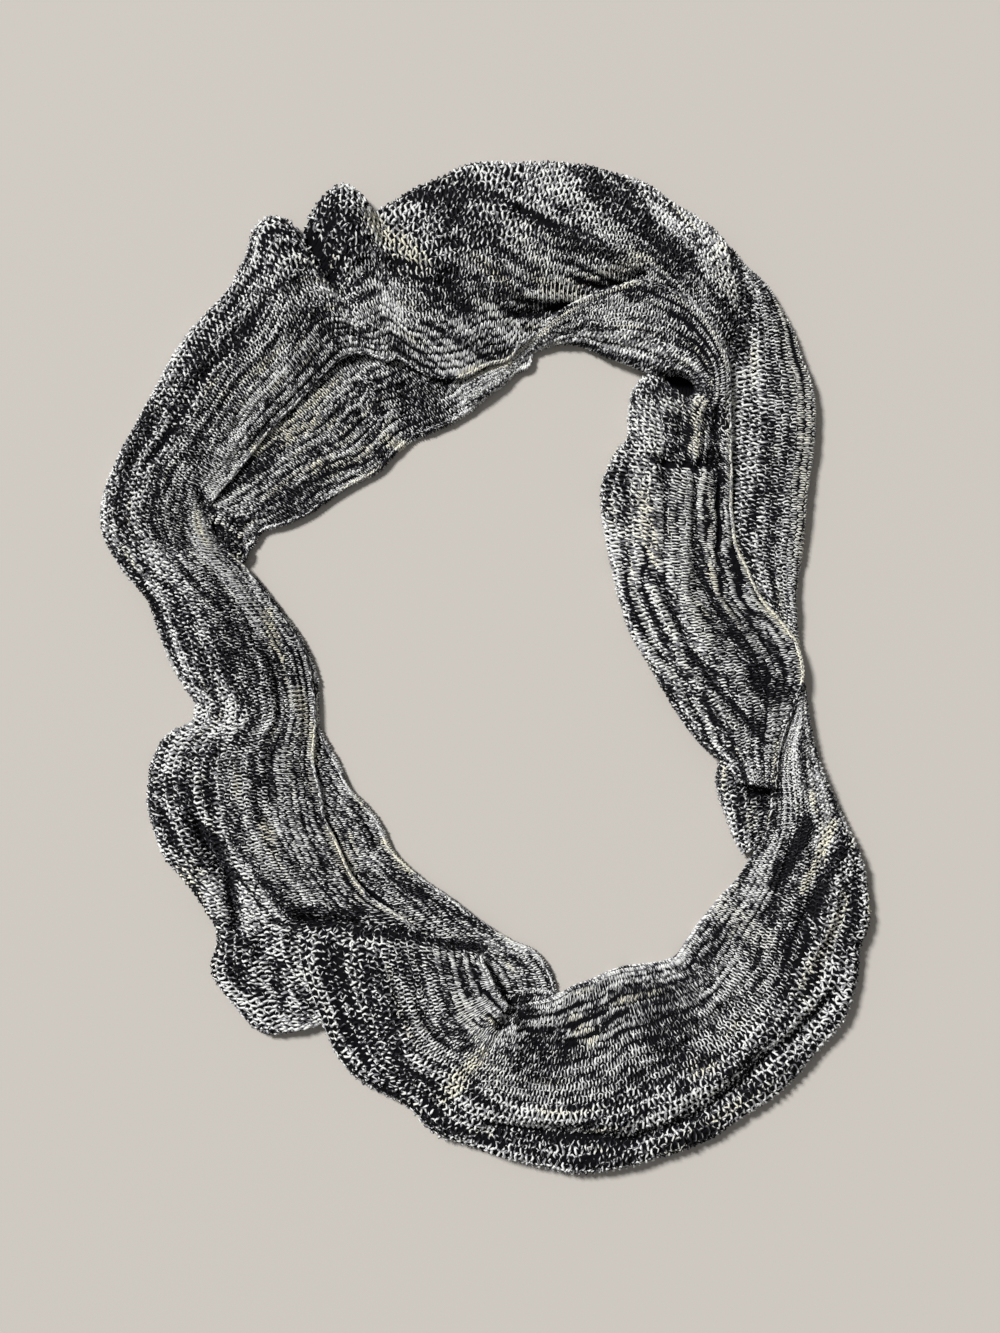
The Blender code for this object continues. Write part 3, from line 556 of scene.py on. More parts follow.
footCreases = (
    (-4, -340, 100, -350, 3, 5.9, -9),
    (94, -350, 159, -330, -4, 5.9, -9),
    (155, -332, 211, -281, -4, 5.9, -8),
    (211, -283, 263, -235, -4, 5.2, -5),
    (195, -280, 252, -225, -4, 5.9, 4),
    (18, -330, 115, -334, 2, 6.7, 4),
    (122, -324, 198, -280, -3, 5.9, 4.5),
    (22, -252, -5, -292, 0, 3.7, -4),
    (23, -252, 20, -301, 0, 3.7, 3.5),
    (24, -252, 47, -292, 0, 3.7, -4),
    (26, -250, 74, -275, 0, 3.7, 3),
    (18, -250, -24, -275, 0, 3.7, 3),
    (22, -249, 26, -255, 0, 4.4, -5),
    (-48, -246, -4, -309, -3, 5.9, -4.5),
    (-78, -235, -33, -312, -4, 7.4, 4.5),
    (-107, -227, -84, -290, -3, 5.9, -3),
    (159, -194, 85, -238, 3, 5.2, -4),
    (174, -216, 100, -268, 4, 5.9, 4),
    (192, -235, 115, -299, 5, 5.2, -5),
    (215, -120, 190, -179, 3, 3.7, 2.5),
    (227, -121, 204, -186, 4, 3.7, -4),
    (238, -124, 215, -194, 4, 3.7, 3),
    (249, -127, 226, -201, 5, 3.7, -3.5),
    (260, -135, 238, -216, 6, 3.7, 2.5),
    (269, -157, 242, -235, 5, 4.4, -2.5),
    (226, -46, 215, -98, 0, 3.7, -3),
    (235, -38, 230, -105, 0, 3.7, 2.5),
    (214, -96, 233, -101, 0, 3.0, 2),
    (233, -216, 159, -312, 7, 7.4, 4),
)

outerCreases = (
    (198, 280, 205, 184, -6, 3.7, -3),
    (215, 258, 226, 147, -4, 4.4, 2),
    (211, 169, 206, 80, 0, 4.4, -2.5),
    (223, 147, 217, 58, 0, 4.4, 2),
)

innerCreases = (
    (56, 250, 122, 234, -4, 3.7, -2.5),
    (63, 258, 135, 250, -7, 3.7, 2),
    (85, 269, 152, 244, -6, 3.7, -2),
    (159, 234, 168, 204, -2, 3.0, -2.5),
    (119, 152, 169, 149, -2, 3.0, -5),
    (115, 161, 174, 163, 1, 5.9, 4),
    (132, 184, 132, 80, 1, 3.0, -3.5),
    (124, 169, 122, 73, 2, 3.0, 2),
    (155, 147, 156, 50, 0, 3.0, -4),
    (146, 147, 147, 65, 0, 3.7, 2.5),
    (163, 147, 168, 58, 0, 3.7, 2.5),
    (172, 191, 174, 80, 0, 3.0, -4),
    (159, 197, 155, 152, 0, 3.0, 3.5),
    (147, 189, 141, 154, 0, 3.7, -3),
    (122, 198, 119, 169, 1, 4.4, 3),
    (98, 73, 159, -42, -10, 3.7, 3),
    (109, 71, 175, -50, -10, 3.0, -3.5),
    (118, 73, 189, -53, -10, 3.7, 3),
    (131, 65, 209, -56, -10, 3.7, -5),
    (144, 69, 212, -46, -9, 3.7, 3),
    (161, 65, 217, -27, -4, 3.7, -4.5),
    (172, 58, 220, -16, -4, 3.7, 3),
    (186, 50, 226, -16, -3, 3.0, -2.5),
    (205, -6, 230, -24, 0, 5.2, -4),
    (190, -62, 212, -87, 0, 3.7, -3),
)

lobeCreases = (
    (175, -75, 211, -98, 0, 3.0, -3),
    (175, -90, 209, -109, 0, 3.0, 2.5),
    (195, -92, 214, -93, 0, 3.0, -5),
)

crownLipCreases = (
    (-110, -77, -84, -132, -2, 3.7, 2.5),
    (-81, -135, -10, -183, -2, 3.7, 3),
    (-91, -144, -20, -190, -2, 3.7, -4),
    (-10, -183, 39, -221, -2, 3.7, 3),
    (-20, -192, 26, -228, -2, 3.7, -4),
    (-86, 222, -69, 163, -2, 3.7, 5),
    (-95, 219, -81, 160, -2, 4.4, -4),
    (-61, 215, -54, 169, 0, 6.7, -5),
    (-137, 184, -84, 198, 0, 4.4, 2),
    (-206, 120, -174, 99, 1, 3.0, 4),
    (-205, 108, -174, 89, 1, 2.6, -5),
    (-202, 98, -177, 80, 1, 3.0, 4),
    (-169, 110, -184, 124, 0, 3.7, -4),
)


def throughRows(knots, values, at):
    # Each span between rows is a cubic whose end slopes come from the neighbouring rows,
    # weighted by their distances.
    slopes = np.gradient(values, knots, axis=0)
    span = np.clip(np.searchsorted(knots, at, side="right") - 1, 0, len(knots) - 2)
    length = (knots[span + 1] - knots[span])[:, None]
    f = (at[:, None] - knots[span][:, None]) / length
    startPart = (2 * f**3 - 3 * f**2 + 1) * values[span]
    endPart = (3 * f**2 - 2 * f**3) * values[span + 1]
    startSlope = (f**3 - 2 * f**2 + f) * length * slopes[span]
    endSlope = (f**3 - f**2) * length * slopes[span + 1]
    return startPart + endPart + startSlope + endSlope


def rowPlaces(rows):
    # How far along the line through the middles of the rows each row lies.
    values = np.array(rows, dtype=float)
    middles = (values[:, 0:2] + values[:, 2:4]) / 2
    return np.concatenate([[0], np.cumsum(np.hypot(*np.diff(middles, axis=0).T))])


def sectionsAlong(rows, step, foldAtEnd=False):
    # The columns of the rows, read at an even step along that line, with the width and the
    # heading of each section.
    values = np.array(rows, dtype=float)
    if foldAtEnd:
        values = values[:, [2, 3, 0, 1, 4, 5, 8, 7, 6]] * [1, 1, 1, 1, -1, 1, 1, 1, 1]
    knots = rowPlaces(rows)
    at = np.linspace(0, knots[-1], int(round(knots[-1] / step)) + 1)
    found = throughRows(knots, values, at)
    table = {name: found[:, [i]] for i, name in enumerate(sectionColumns[: found.shape[1]])}
    run = np.hstack([table["endX"] - table["startX"], table["endY"] - table["startY"]])
    width = np.linalg.norm(run, axis=1)[:, None]
    return table, width, run / width, at


def bell(x):
    # One at 0, and fading to nothing on both sides.
    return np.exp(-x * x)


def smooth(x):
    # From 0 to 1 with level ends.
    x = np.clip(x, 0, 1)
    return x * x * (3 - 2 * x)


creaseShape = {"fade": 0.25, "atEnds": 0.35, "pastEnds": 0.6}


def creaseHeight(x, y, creases):
    # Each crease is a line with a bell across it. It fades towards its ends, and past them
    # it dies out in a shorter bell.
    total = np.zeros_like(x)
    for fromX, fromY, toX, toY, bow, halfWidth, height in creases:
        dx, dy = toX - fromX, toY - fromY
        length = np.hypot(dx, dy)
        along = ((x - fromX) * dx + (y - fromY) * dy) / length**2
        held = np.clip(along, 0, 1)
        away = ((x - fromX) * -dy + (y - fromY) * dx) / length - 4 * bow * held * (1 - held)
        beyond = (along - held) * length
        start = smooth(held / creaseShape["fade"] + creaseShape["atEnds"])
        end = smooth((1 - held) / creaseShape["fade"] + creaseShape["atEnds"])
        past = bell(beyond / (creaseShape["pastEnds"] * halfWidth))
        total += height * start * end * bell(away / halfWidth) * past
    return total


def lattice(x, y, sizeX, sizeY, seed):
    # Smooth random heights between -1 and 1 on a lattice of cells of this size. The lattice
    # comes round again after rowsX by rowsY cells, and starts away from the origin.
    rowsX, rowsY = 97, 89
    startX, startY = 31.7, 17.3
    values = np.random.default_rng(seed).uniform(-1, 1, (rowsX, rowsY))
    placeX, placeY = x / sizeX + startX, y / sizeY + startY
    i, j = np.floor(placeX).astype(int), np.floor(placeY).astype(int)
    fx, fy = smooth(placeX - i), smooth(placeY - j)
    i0, i1, j0, j1 = i % rowsX, (i + 1) % rowsX, j % rowsY, (j + 1) % rowsY
    low = values[i0, j0] * (1 - fx) + values[i1, j0] * fx
    high = values[i0, j1] * (1 - fx) + values[i1, j1] * fx
    return low * (1 - fy) + high * fy


def patches(x, y, table, seed=0):
    # The sum of the listed lattices: how much, size along x and along y, and seed.
    return sum(amount * lattice(x, y, sizeX, sizeY, seed + extra)
               for amount, sizeX, sizeY, extra in table)


def spreadEvenly(points, values, fractions):
    # Values held at the points of each row, read at these fractions of the row's length.
    out = np.empty((len(points), len(fractions), values.shape[2]))
    lengths = np.zeros(len(points))
    for i, row in enumerate(points):
        run = np.concatenate([[0], np.cumsum(np.linalg.norm(np.diff(row, axis=0), axis=1))])
        lengths[i] = run[-1]
        for axis in range(values.shape[2]):
            out[i, :, axis] = np.interp(fractions * run[-1], run, values[i, :, axis])
    return out, lengths


wallShape = {
    "step": 2.0,  # between sections, along the band
    "reach": 5.5,  # how far in the rounded fold goes
    "under": 55.0,  # how far the fold turns in underneath, in degrees
    "foldPoints": 12,
    "topPoints": 64,
    "edgeLift": 0.8,  # the free edge curls up by this much,
    "liftWidth": 22.0,  # over this width,
    "edgeDrop": 2.6,  # and rolls down by this much
    "dropWidth": 3.2,  # over its last stretch,
    "dropRound": 0.96,  # which is this share of a quarter circle
    "bumps": ((0.9, 26, 26, 3), (0.5, 11, 11, 4)),  # soft unevenness
    "lowest": 1.4,
}


def wallSurface(rows, creases, foldAtEnd=False):
    # The outer face of a wall: up round the fold along part of an ellipse, over the top as a
    # parabola and down the soft free edge as a quarter of a circle.
    table, width, heading, along = sectionsAlong(rows, wallShape["step"], foldAtEnd)
    rests, reach = table["rests"], wallShape["reach"]
    turn = np.radians(np.linspace(-wallShape["under"], 90.0, wallShape["foldPoints"]))
    half = (table["startZ"] - rests) / 2
    foldPlan = reach * (1 - np.cos(turn))[None, :] * np.ones_like(width)
    foldZ = rests + half * (1 + np.sin(turn))[None, :]
    f = np.linspace(0, 1, wallShape["topPoints"])[None, 1:]
    topPlan = reach + f * (width - reach)
    startZ, middleZ, endZ = table["startZ"], table["middleZ"], table["endZ"]
    topZ = startZ + f * (endZ - startZ) + (middleZ - (startZ + endZ) / 2) * 4 * f * (1 - f)
    fromEdge = width - topPlan
    topZ = topZ + wallShape["edgeLift"] * smooth(1 - fromEdge / wallShape["liftWidth"])
    intoEdge = np.clip(1 - fromEdge / wallShape["dropWidth"], 0, 1)
    level = np.sqrt(1 - wallShape["dropRound"] * intoEdge**2)
    topZ = topZ - wallShape["edgeDrop"] * (1 - level)
    plan, z = np.hstack([foldPlan, topPlan]), np.hstack([foldZ, topZ])
    part = plan / width
    bow = 4 * part * (1 - part) * table["bow"]
    x = table["startX"] + plan * heading[:, 0:1] - bow * heading[:, 1:2]
    y = table["startY"] + plan * heading[:, 1:2] + bow * heading[:, 0:1]
    # Nothing moves where the cloth rests, and all of it at the height of the fold.
    lift = smooth((z - rests) / (2 * half))
    z = z + lift * creaseHeight(x, y, creases)
    z = z + lift * patches(x, y, wallShape["bumps"])
    return np.stack([x, y, np.maximum(z, wallShape["lowest"])], axis=2), along, None


lipShape = {
    "step": 2.0,
    "points": 60,
    "widest": 0.95,  # how much of the section is made at most
    "rise": 1.2,  # the cloth rises by this much from its edge inwards,
    "riseWidth": 12.0,  # over this width,
    "fall": 0.14,  # and from where the cloth above has covered it falls away at this slope,
    "fallFrom": 3.0,
    "fallWidth": 30.0,
    "rim": 1.2,  # how far its rounded rim stands out,
    "rimFrom": 80.0,  # where the rim begins and ends, in degrees,
    "rimTo": -60.0,
    "rimPoints": 8,
    "rimMiddle": 0.52,  # and its middle and half height, as shares of the edge's height
    "rimHalf": 0.5,
    "lowest": 0.6,
}


def lipSurface(rows, reach, creases):
    # What shows of the lower layers: from under the wall out to the soft lower edge, and down
    # to the floor round a rim that is part of an ellipse. The third result says how far in
    # under the edge of the cloth above each point lies.
    table, width, heading, along = sectionsAlong(rows, lipShape["step"])
    endZ, shows = table["endZ"], table["shows"]
    fromEnd = np.linspace(reach, 0, lipShape["points"])[None, :]
    fromEnd = np.minimum(fromEnd, lipShape["widest"] * width)
    topZ = endZ - lipShape["rise"] / 2 + lipShape["rise"] * smooth(fromEnd / lipShape["riseWidth"])
    covered = np.clip(fromEnd - shows - lipShape["fallFrom"], 0, lipShape["fallWidth"])
    topZ = topZ - lipShape["fall"] * covered
    turn = np.linspace(lipShape["rimFrom"], lipShape["rimTo"], lipShape["rimPoints"])
    turn = np.radians(turn)[None, :]
    rimPlan = width + lipShape["rim"] * np.cos(turn)
    rimZ = endZ * (lipShape["rimMiddle"] + lipShape["rimHalf"] * np.sin(turn))
    plan, z = np.hstack([width - fromEnd, rimPlan]), np.hstack([topZ, rimZ])
    x = table["startX"] + plan * heading[:, 0:1]
    y = table["startY"] + plan * heading[:, 1:2]
    # Creases begin 2 mm above the floor and have their whole height from 6 mm.
    z = z + smooth(z / 4 - 0.5) * creaseHeight(x, y, creases)
    hidden = np.hstack([fromEnd - shows, -shows - np.zeros_like(rimPlan)])
    return np.stack([x, y, np.maximum(z, lipShape["lowest"])], axis=2), along, hidden


def upNormals(grid):
    # Unit normals of a grid of points, turned so that most of them look up.
    normals = unit(np.cross(np.gradient(grid, axis=0), np.gradient(grid, axis=1)))
    return normals if normals[..., 2].sum() > 0 else -normals


def unit(v):
    # Each vector at a length of one.
    return v / np.maximum(np.linalg.norm(v, axis=-1, keepdims=True), 1e-9)


def readGrid(grid, i, j):
    # Values between the grid's points, as the weighted mean of the four round each place.
    i = np.clip(i, 0, grid.shape[0] - 1.001)
    j = np.clip(j, 0, grid.shape[1] - 1.001)
    i0, j0 = np.floor(i).astype(int), np.floor(j).astype(int)
    fi, fj = (i - i0)[..., None], (j - j0)[..., None]
    low = grid[i0, j0] * (1 - fi) + grid[i0 + 1, j0] * fi
    high = grid[i0, j0 + 1] * (1 - fi) + grid[i0 + 1, j0 + 1] * fi
    return low * (1 - fj) + high * fj


def makeMesh(name, points, corners, sizes, material, maps, colours=()):
    # The corners of all faces in a row, and how many corners each face has. A map has two
    # numbers for each corner, and a colour four for each point.
    mesh = bpy.data.meshes.new(name)
    mesh.vertices.add(len(points))
    mesh.vertices.foreach_set("co", (points * mm).astype(np.float32).ravel())
    mesh.loops.add(len(corners))
    mesh.polygons.add(len(sizes))
    mesh.loops.foreach_set("vertex_index", corners.astype(np.int32))
    starts = np.concatenate([[0], np.cumsum(sizes)[:-1]])
    mesh.polygons.foreach_set("loop_start", starts.astype(np.int32))
    mesh.update(calc_edges=True)
    for mapName, places in maps:
        layer = mesh.uv_layers.new(name=mapName)
        layer.uv.foreach_set("vector", places.astype(np.float32).ravel())
    for colourName, values in colours:
        attribute = mesh.attributes.new(colourName, "FLOAT_COLOR", "POINT")
        attribute.data.foreach_set("color", values.astype(np.float32).ravel())
    mesh.shade_smooth()
    mesh.materials.append(material)
    body = bpy.data.objects.new(name, mesh)
    bpy.context.collection.objects.link(body)
    return body


shell = {"thickness": 1.0, "lowest": 0.25, "columns": 26, "everyRow": 3, "mapMargin": 0.01}


def closedShell(name, outer, places, material):
    # A thin sheet: the face, the same face moved in along its normals, and walls round the
    # rim. Its map "cloth" holds the places along and across the cloth in millimetres.
    inner = outer - upNormals(outer) * shell["thickness"]
    inner[..., 2] = np.maximum(inner[..., 2], shell["lowest"])
    rows, columns = outer.shape[:2]
    count = rows * columns
    points = np.concatenate([outer.reshape(-1, 3), inner.reshape(-1, 3)])
    index = np.arange(count).reshape(rows, columns)
    a, b, c, d = index[:-1, :-1], index[1:, :-1], index[1:, 1:], index[:-1, 1:]
    top = np.stack([a, b, c, d], axis=-1).reshape(-1, 4)
    bottom = np.stack([d, c, b, a], axis=-1).reshape(-1, 4) + count
    rim = np.concatenate([index[0, :], index[1:, -1], index[-1, -2::-1], index[-2:0:-1, 0]])
    ahead = np.roll(rim, -1)
    side = np.stack([rim, ahead, ahead + count, rim + count], axis=-1)
    faces = np.concatenate([top, bottom, side])
    corner = points[top]
    up = np.cross(corner[:, 2] - corner[:, 0], corner[:, 3] - corner[:, 1])[:, 2].sum()
    if up < 0:
        faces = faces[:, ::-1]
    # The face has the lower half of the map, the back the upper half and the rim no area.
    half = np.linspace(shell["mapMargin"], 0.5 - shell["mapMargin"], columns)
    part = np.stack(np.meshgrid(np.linspace(0, 1, rows), half, indexing="ij"), axis=-1)
    part = part.reshape(-1, 2)
    bake = np.concatenate([part, part + [0, 0.5]])
    sheets, rims = faces[: 2 * len(top)], faces[2 * len(top):]
    bake = np.concatenate([bake[sheets].reshape(-1, 2), bake[rims % count].reshape(-1, 2)])
    place = places.reshape(-1, 2)[faces.ravel() % count]
    return makeMesh(name, points, faces.ravel(), np.full(len(faces), 4), material,
                    [("OFBake", bake), ("cloth", place)])


strand = {"lowest": 0.05, "longest": 400.0, "mapFrom": 0.04, "mapShare": 0.92}
strandStarts = np.random.default_rng(7)  # where in its colour changes each yarn starts


def tubes(name, centre, normal, radius, sides, tone, material, keep=None):
    # A tube round each line of points: a ring of this radius across the line at each of them.
    # Its map "yarn" holds the length along the line in millimetres and the part of a turn
    # round it. Only the lengths marked in keep are made.
    lines, samples = centre.shape[:2]
    tangent = unit(np.gradient(centre, axis=1))
    sideways = unit(np.cross(tangent, normal))
    outwards = np.cross(sideways, tangent)
    turn = np.arange(sides) * 2 * np.pi / sides + np.pi / 2
    ring = (np.cos(turn)[:, None] * sideways[:, :, None, :]
            + np.sin(turn)[:, None] * outwards[:, :, None, :])
    points = centre[:, :, None, :] + radius[:, :, None, None] * ring
    points[..., 2] = np.maximum(points[..., 2], strand["lowest"])
    travelled = np.cumsum(np.linalg.norm(np.diff(centre, axis=1), axis=2), axis=1)
    travelled = np.concatenate([np.zeros((lines, 1)), travelled], axis=1)
    travelled += strandStarts.uniform(0, strand["longest"], (lines, 1))
    index = np.arange(lines * samples * sides).reshape(lines, samples, sides)
    ahead = (np.arange(sides) + 1) % sides
    first, second = index[:, :-1], index[:, 1:]
    quads = np.stack([first, first[..., ahead], second[..., ahead], second], axis=-1).reshape(-1, 4)
    shape = (lines, samples - 1, sides)
    low = np.broadcast_to(np.arange(sides) / sides, shape)
    high = low + 1 / sides
    before = np.broadcast_to(travelled[:, :-1, None], shape)
    after = np.broadcast_to(travelled[:, 1:, None], shape)
    row = np.arange(lines)[:, None, None]
    left = np.broadcast_to((np.arange(samples - 1) / (samples - 1))[None, :, None], shape)
    right = left + 1 / (samples - 1)
    bottom = (row + strand["mapFrom"] + strand["mapShare"] * low) / lines
    top = (row + strand["mapFrom"] + strand["mapShare"] * high) / lines
    if keep is None:
        keep = np.ones((lines, samples - 1), dtype=bool)
    kept = np.broadcast_to(keep[..., None], shape).ravel()
    starts = keep & ~np.pad(keep, ((0, 0), (1, 0)))[:, :-1]
    ends = keep & ~np.pad(keep, ((0, 0), (0, 1)))[:, 1:]
    # The ends of each kept length are closed, and take the colour of the yarn beside them.
    caps = np.concatenate([first[starts][:, ::-1], second[ends]])

    def cornerMap(startU, endU, lowV, highV):
        # One pair of numbers for each corner of the quads, then for each corner of the caps.
        around = np.stack([startU, lowV, startU, highV, endU, highV, endU, lowV], -1)
        closed = np.concatenate([np.stack([startU[starts], lowV[starts]], -1)[:, ::-1],
                                 np.stack([endU[ends], lowV[ends]], -1)])
        return np.concatenate([around.reshape(-1, 8)[kept].reshape(-1, 2), closed.reshape(-1, 2)])

    corners = np.concatenate([quads[kept].ravel(), caps.ravel()])
    used, inverse = np.unique(corners, return_inverse=True)
    sizes = np.repeat([4, sides], [kept.sum(), len(caps)])
    maps = [("OFBake", cornerMap(left, right, bottom, top)),
            ("yarn", cornerMap(before, after, low, high))]
    tones = np.repeat(tone.reshape(-1, 4), sides, axis=0)[used]
    return makeMesh(name, points.reshape(-1, 3)[used], inverse, sizes, material, maps,
                    [("tone", tones)])


def clothAt(cloth, along, across):
    # The cloth's face and its normal at these places on its grid.
    return readGrid(cloth["grid"], along, across), readGrid(cloth["normals"], along, across)


coveredBy = 6.0  # yarn is left out where the cloth above covers it by this much


def showing(cloth, along, across):
    # Which lengths of yarn to make, or None for all of them.
    if cloth["hidden"] is None:
        return None
    return readGrid(cloth["hidden"][..., None], along, across)[:, :-1, 0] < coveredBy


stitch = {
    "wander": 1.6,  # how far a course wanders along itself, as a phase for each offset,
    "wanderSize": (30, 7),  # and over what lengths
    "leanUneven": 0.3,  # as a share of the block's unevenness
    "radiusUneven": 0.07,
    "heightUneven": 0.2,
    "lift": 0.9,  # a course's mean height above the face, in radii
    "margin": 0.004,  # the share of the width kept clear at both edges
}


def knit(name, cloth, block, seed):
    # Every course is one yarn. Round t it swings half a loop out and in across the courses,
    # leans sideways by sin 2t so that its legs cross the neighbour's, and dips behind at the
    # heads and feet by cos 2t.
    grid, width, length = cloth["grid"], cloth["width"], cloth["length"]
    span = block["to"] - block["from"]
    wales = max(int(round(length / block["wale"])), 2)
    courses = max(int(round(width * span / block["pitch"])), 1)
    steps = block["steps"]
    samples = wales * steps + 1
    t = np.arange(samples)[None, :] * 2 * np.pi / steps
    course = np.arange(courses)[:, None] + 0.5
    noise = np.random.default_rng(seed)
    # Every other course is shifted by part of a stitch, and each wanders a little.
    shift = np.pi * block["offset"] * (np.arange(courses)[:, None] % 2)
    wander = lattice(t * block["wale"] / (2 * np.pi), course * 4, *stitch["wanderSize"], seed)
    shift = shift + stitch["wander"] * block["offset"] * wander
    half = np.arange(samples) * 2 / steps
    low = np.floor(half).astype(int)

    def jitter(amount):
        # A random number for each half loop, and even steps between them.
        values = noise.normal(0, amount, (courses, 2 * wales + 2))
        return values[:, low] * (1 - half + low) + values[:, low + 1] * (half - low)

    swing = block["swing"] * np.cos(t + shift) + jitter(block["uneven"])
    lean = block["lean"] * np.sin(2 * (t + shift))
    lean = lean + jitter(stitch["leanUneven"] * block["uneven"])
    fraction = block["from"] + (course + swing) / courses * span
    across = np.clip(fraction, stitch["margin"], 1 - stitch["margin"]) * (grid.shape[1] - 1)
    along = np.clip((t / (2 * np.pi) + lean) / wales, 0, 1) * (grid.shape[0] - 1)
    face, normal = clothAt(cloth, along, across)
    alongPlace = cloth["start"] + along / (grid.shape[0] - 1) * length
    bandPlace = fraction * width + slantAt(alongPlace, cloth)
    radius = block["radius"] * (1 + jitter(stitch["radiusUneven"]))
    height = radius * (stitch["lift"] - block["depth"] * np.cos(2 * (t + shift)))
    height = height + jitter(stitch["heightUneven"]) + cordHeight(alongPlace, bandPlace, block)
    centre = face + normal * height[..., None]
    tone = toneAt(centre, alongPlace, bandPlace, block, cloth)
    keep = showing(cloth, along, across)
    return tubes(name, centre, normal, radius, block["sides"], tone, yarnMaterial, keep)


def slantAt(along, cloth):
    # How far the bands of colour have drifted across the cloth.
    slope, until = cloth["slant"]
    return slope * np.clip(along, 0, until)


ridges = {
    "wander": ((5.5, 75, 45, 12), (1.2, 17, 14, 14)),  # how far they stray sideways, as a phase
    "strength": 0.6,
    "changes": ((0.6, 60, 30, 13),),  # how the strength differs from place to place
}


def cordWave(along, across, block):
    # Lengthwise ridges: 1 on a ridge and -1 in the valley, wandering slowly sideways.
    shift = patches(along, across, ridges["wander"])
    return np.cos(2 * np.pi * across / block["ridge"] + shift)


def cordHeight(along, across, block):
    strength = ridges["strength"] + patches(along, across, ridges["changes"])
    return block["relief"] * strength * (cordWave(along, across, block) - 1)


marl = {
    "base": 0.555,  # how pale the yarn is before the patches
    # Patches of paler and darker yarn: how much, how long, how wide, and their seed.
    "patches": ((0.38, 44, 7.5, 20), (0.13, 80, 20, 40), (0.32, 24, 3.2, 60)),
    "speckle": 0.34,
    "speckleSize": (8, 5, 70),
    # The valleys' darkening is painted shade.
    "valleyShadeShare": 0.55,  # how dark the valleys between the ridges are,
    "valleyShadeChanges": ((1.1, 50, 16, 13),),  # and how that differs from place to place
    "darkest": 0.05,
    "speckleLeft": 0.1,  # what is left of the speckle in the dark and in the streaks
    "cream": -1.2,
    "creamPatches": ((2.4, 36, 6, 80),),
    # The listed streaks include painted shade and a painted highlight.
    "ragged": ((0.4, 9, 9, 91),),  # how ragged the edges of the listed streaks are
    "streakAndPaintedLightShare": 0.9,
    "streakAndPaintedLightWidth": 1.2,
}


def toneAt(points, along, across, block, cloth):
    # How pale the yarn is: long streaks along the courses, painted shade in the valleys
    # between the ridges, and the listed streaks, some of them painted shade and highlights.
    # The second value is how creamy it is.
    x, y = points[..., 0], points[..., 1]
    seed = cloth["seed"]
    sizeAlong, sizeAcross, extra = marl["speckleSize"]
    speckle = lattice(along, across, sizeAlong, sizeAcross, seed + extra)
    tone = marl["base"] + patches(along, across, marl["patches"], seed)
    tone = tone + marl["speckle"] * speckle
    # Painted shade: darker yarn in the valleys between the lengthwise ridges.
    valleyShade = smooth(0.1 - cordWave(along, across, block))
    valleyShadeMask = smooth(marl["valleyShadeShare"] + patches(along, across, marl["valleyShadeChanges"]))
    speckle = marl["speckleLeft"] * speckle
    tone = np.maximum(tone - block["valleyShade"] * valleyShade * valleyShadeMask, marl["darkest"] + speckle)
    cream = np.clip(marl["cream"] + patches(along, across, marl["creamPatches"], seed), 0, 1)
    ragged = 1 + patches(x, y, marl["ragged"])
    # The listed streaks: the yarn's own colour, and in places painted shade and a painted
    # highlight.
    for fromX, fromY, toX, toY, halfWidth, pale, creamy in streaksAndPaintedLight:
        dx, dy = toX - fromX, toY - fromY
        held = np.clip(((x - fromX) * dx + (y - fromY) * dy) / (dx * dx + dy * dy), 0, 1)
        away = np.hypot(x - fromX - held * dx, y - fromY - held * dy) * ragged
        share = marl["streakAndPaintedLightShare"] * bell((away / (marl["streakAndPaintedLightWidth"] * halfWidth)) ** 2)
        tone = tone * (1 - share) + (pale + speckle) * share
        cream = cream * (1 - share) + creamy * share
    tone = np.clip(tone, -0.2, 1)
    return np.stack([tone, np.clip(cream, 0, 1), 0.5 + 0 * tone, 1 + 0 * tone], axis=-1)


ladder = {
    "radius": 0.52,
    "sides": 3,
    "step": 2.0,  # between points along a rung
    "margin": 0.01,
    "spacingUneven": 0.08,
    "sway": ((0.9, 30, 18, 31),),
    "height": 1.9,
    "heightChanges": ((0.5, 40, 14, 33),),
    "heightUneven": 0.12,
    "paler": 1.1,  # rungs are paler than the courses by this factor,
    "palerBy": 0.35,  # and this much more
    "show": ((1.0, 24, 10, 35),),  # they show only where this is above showFrom
    "showFrom": 0.28,
}


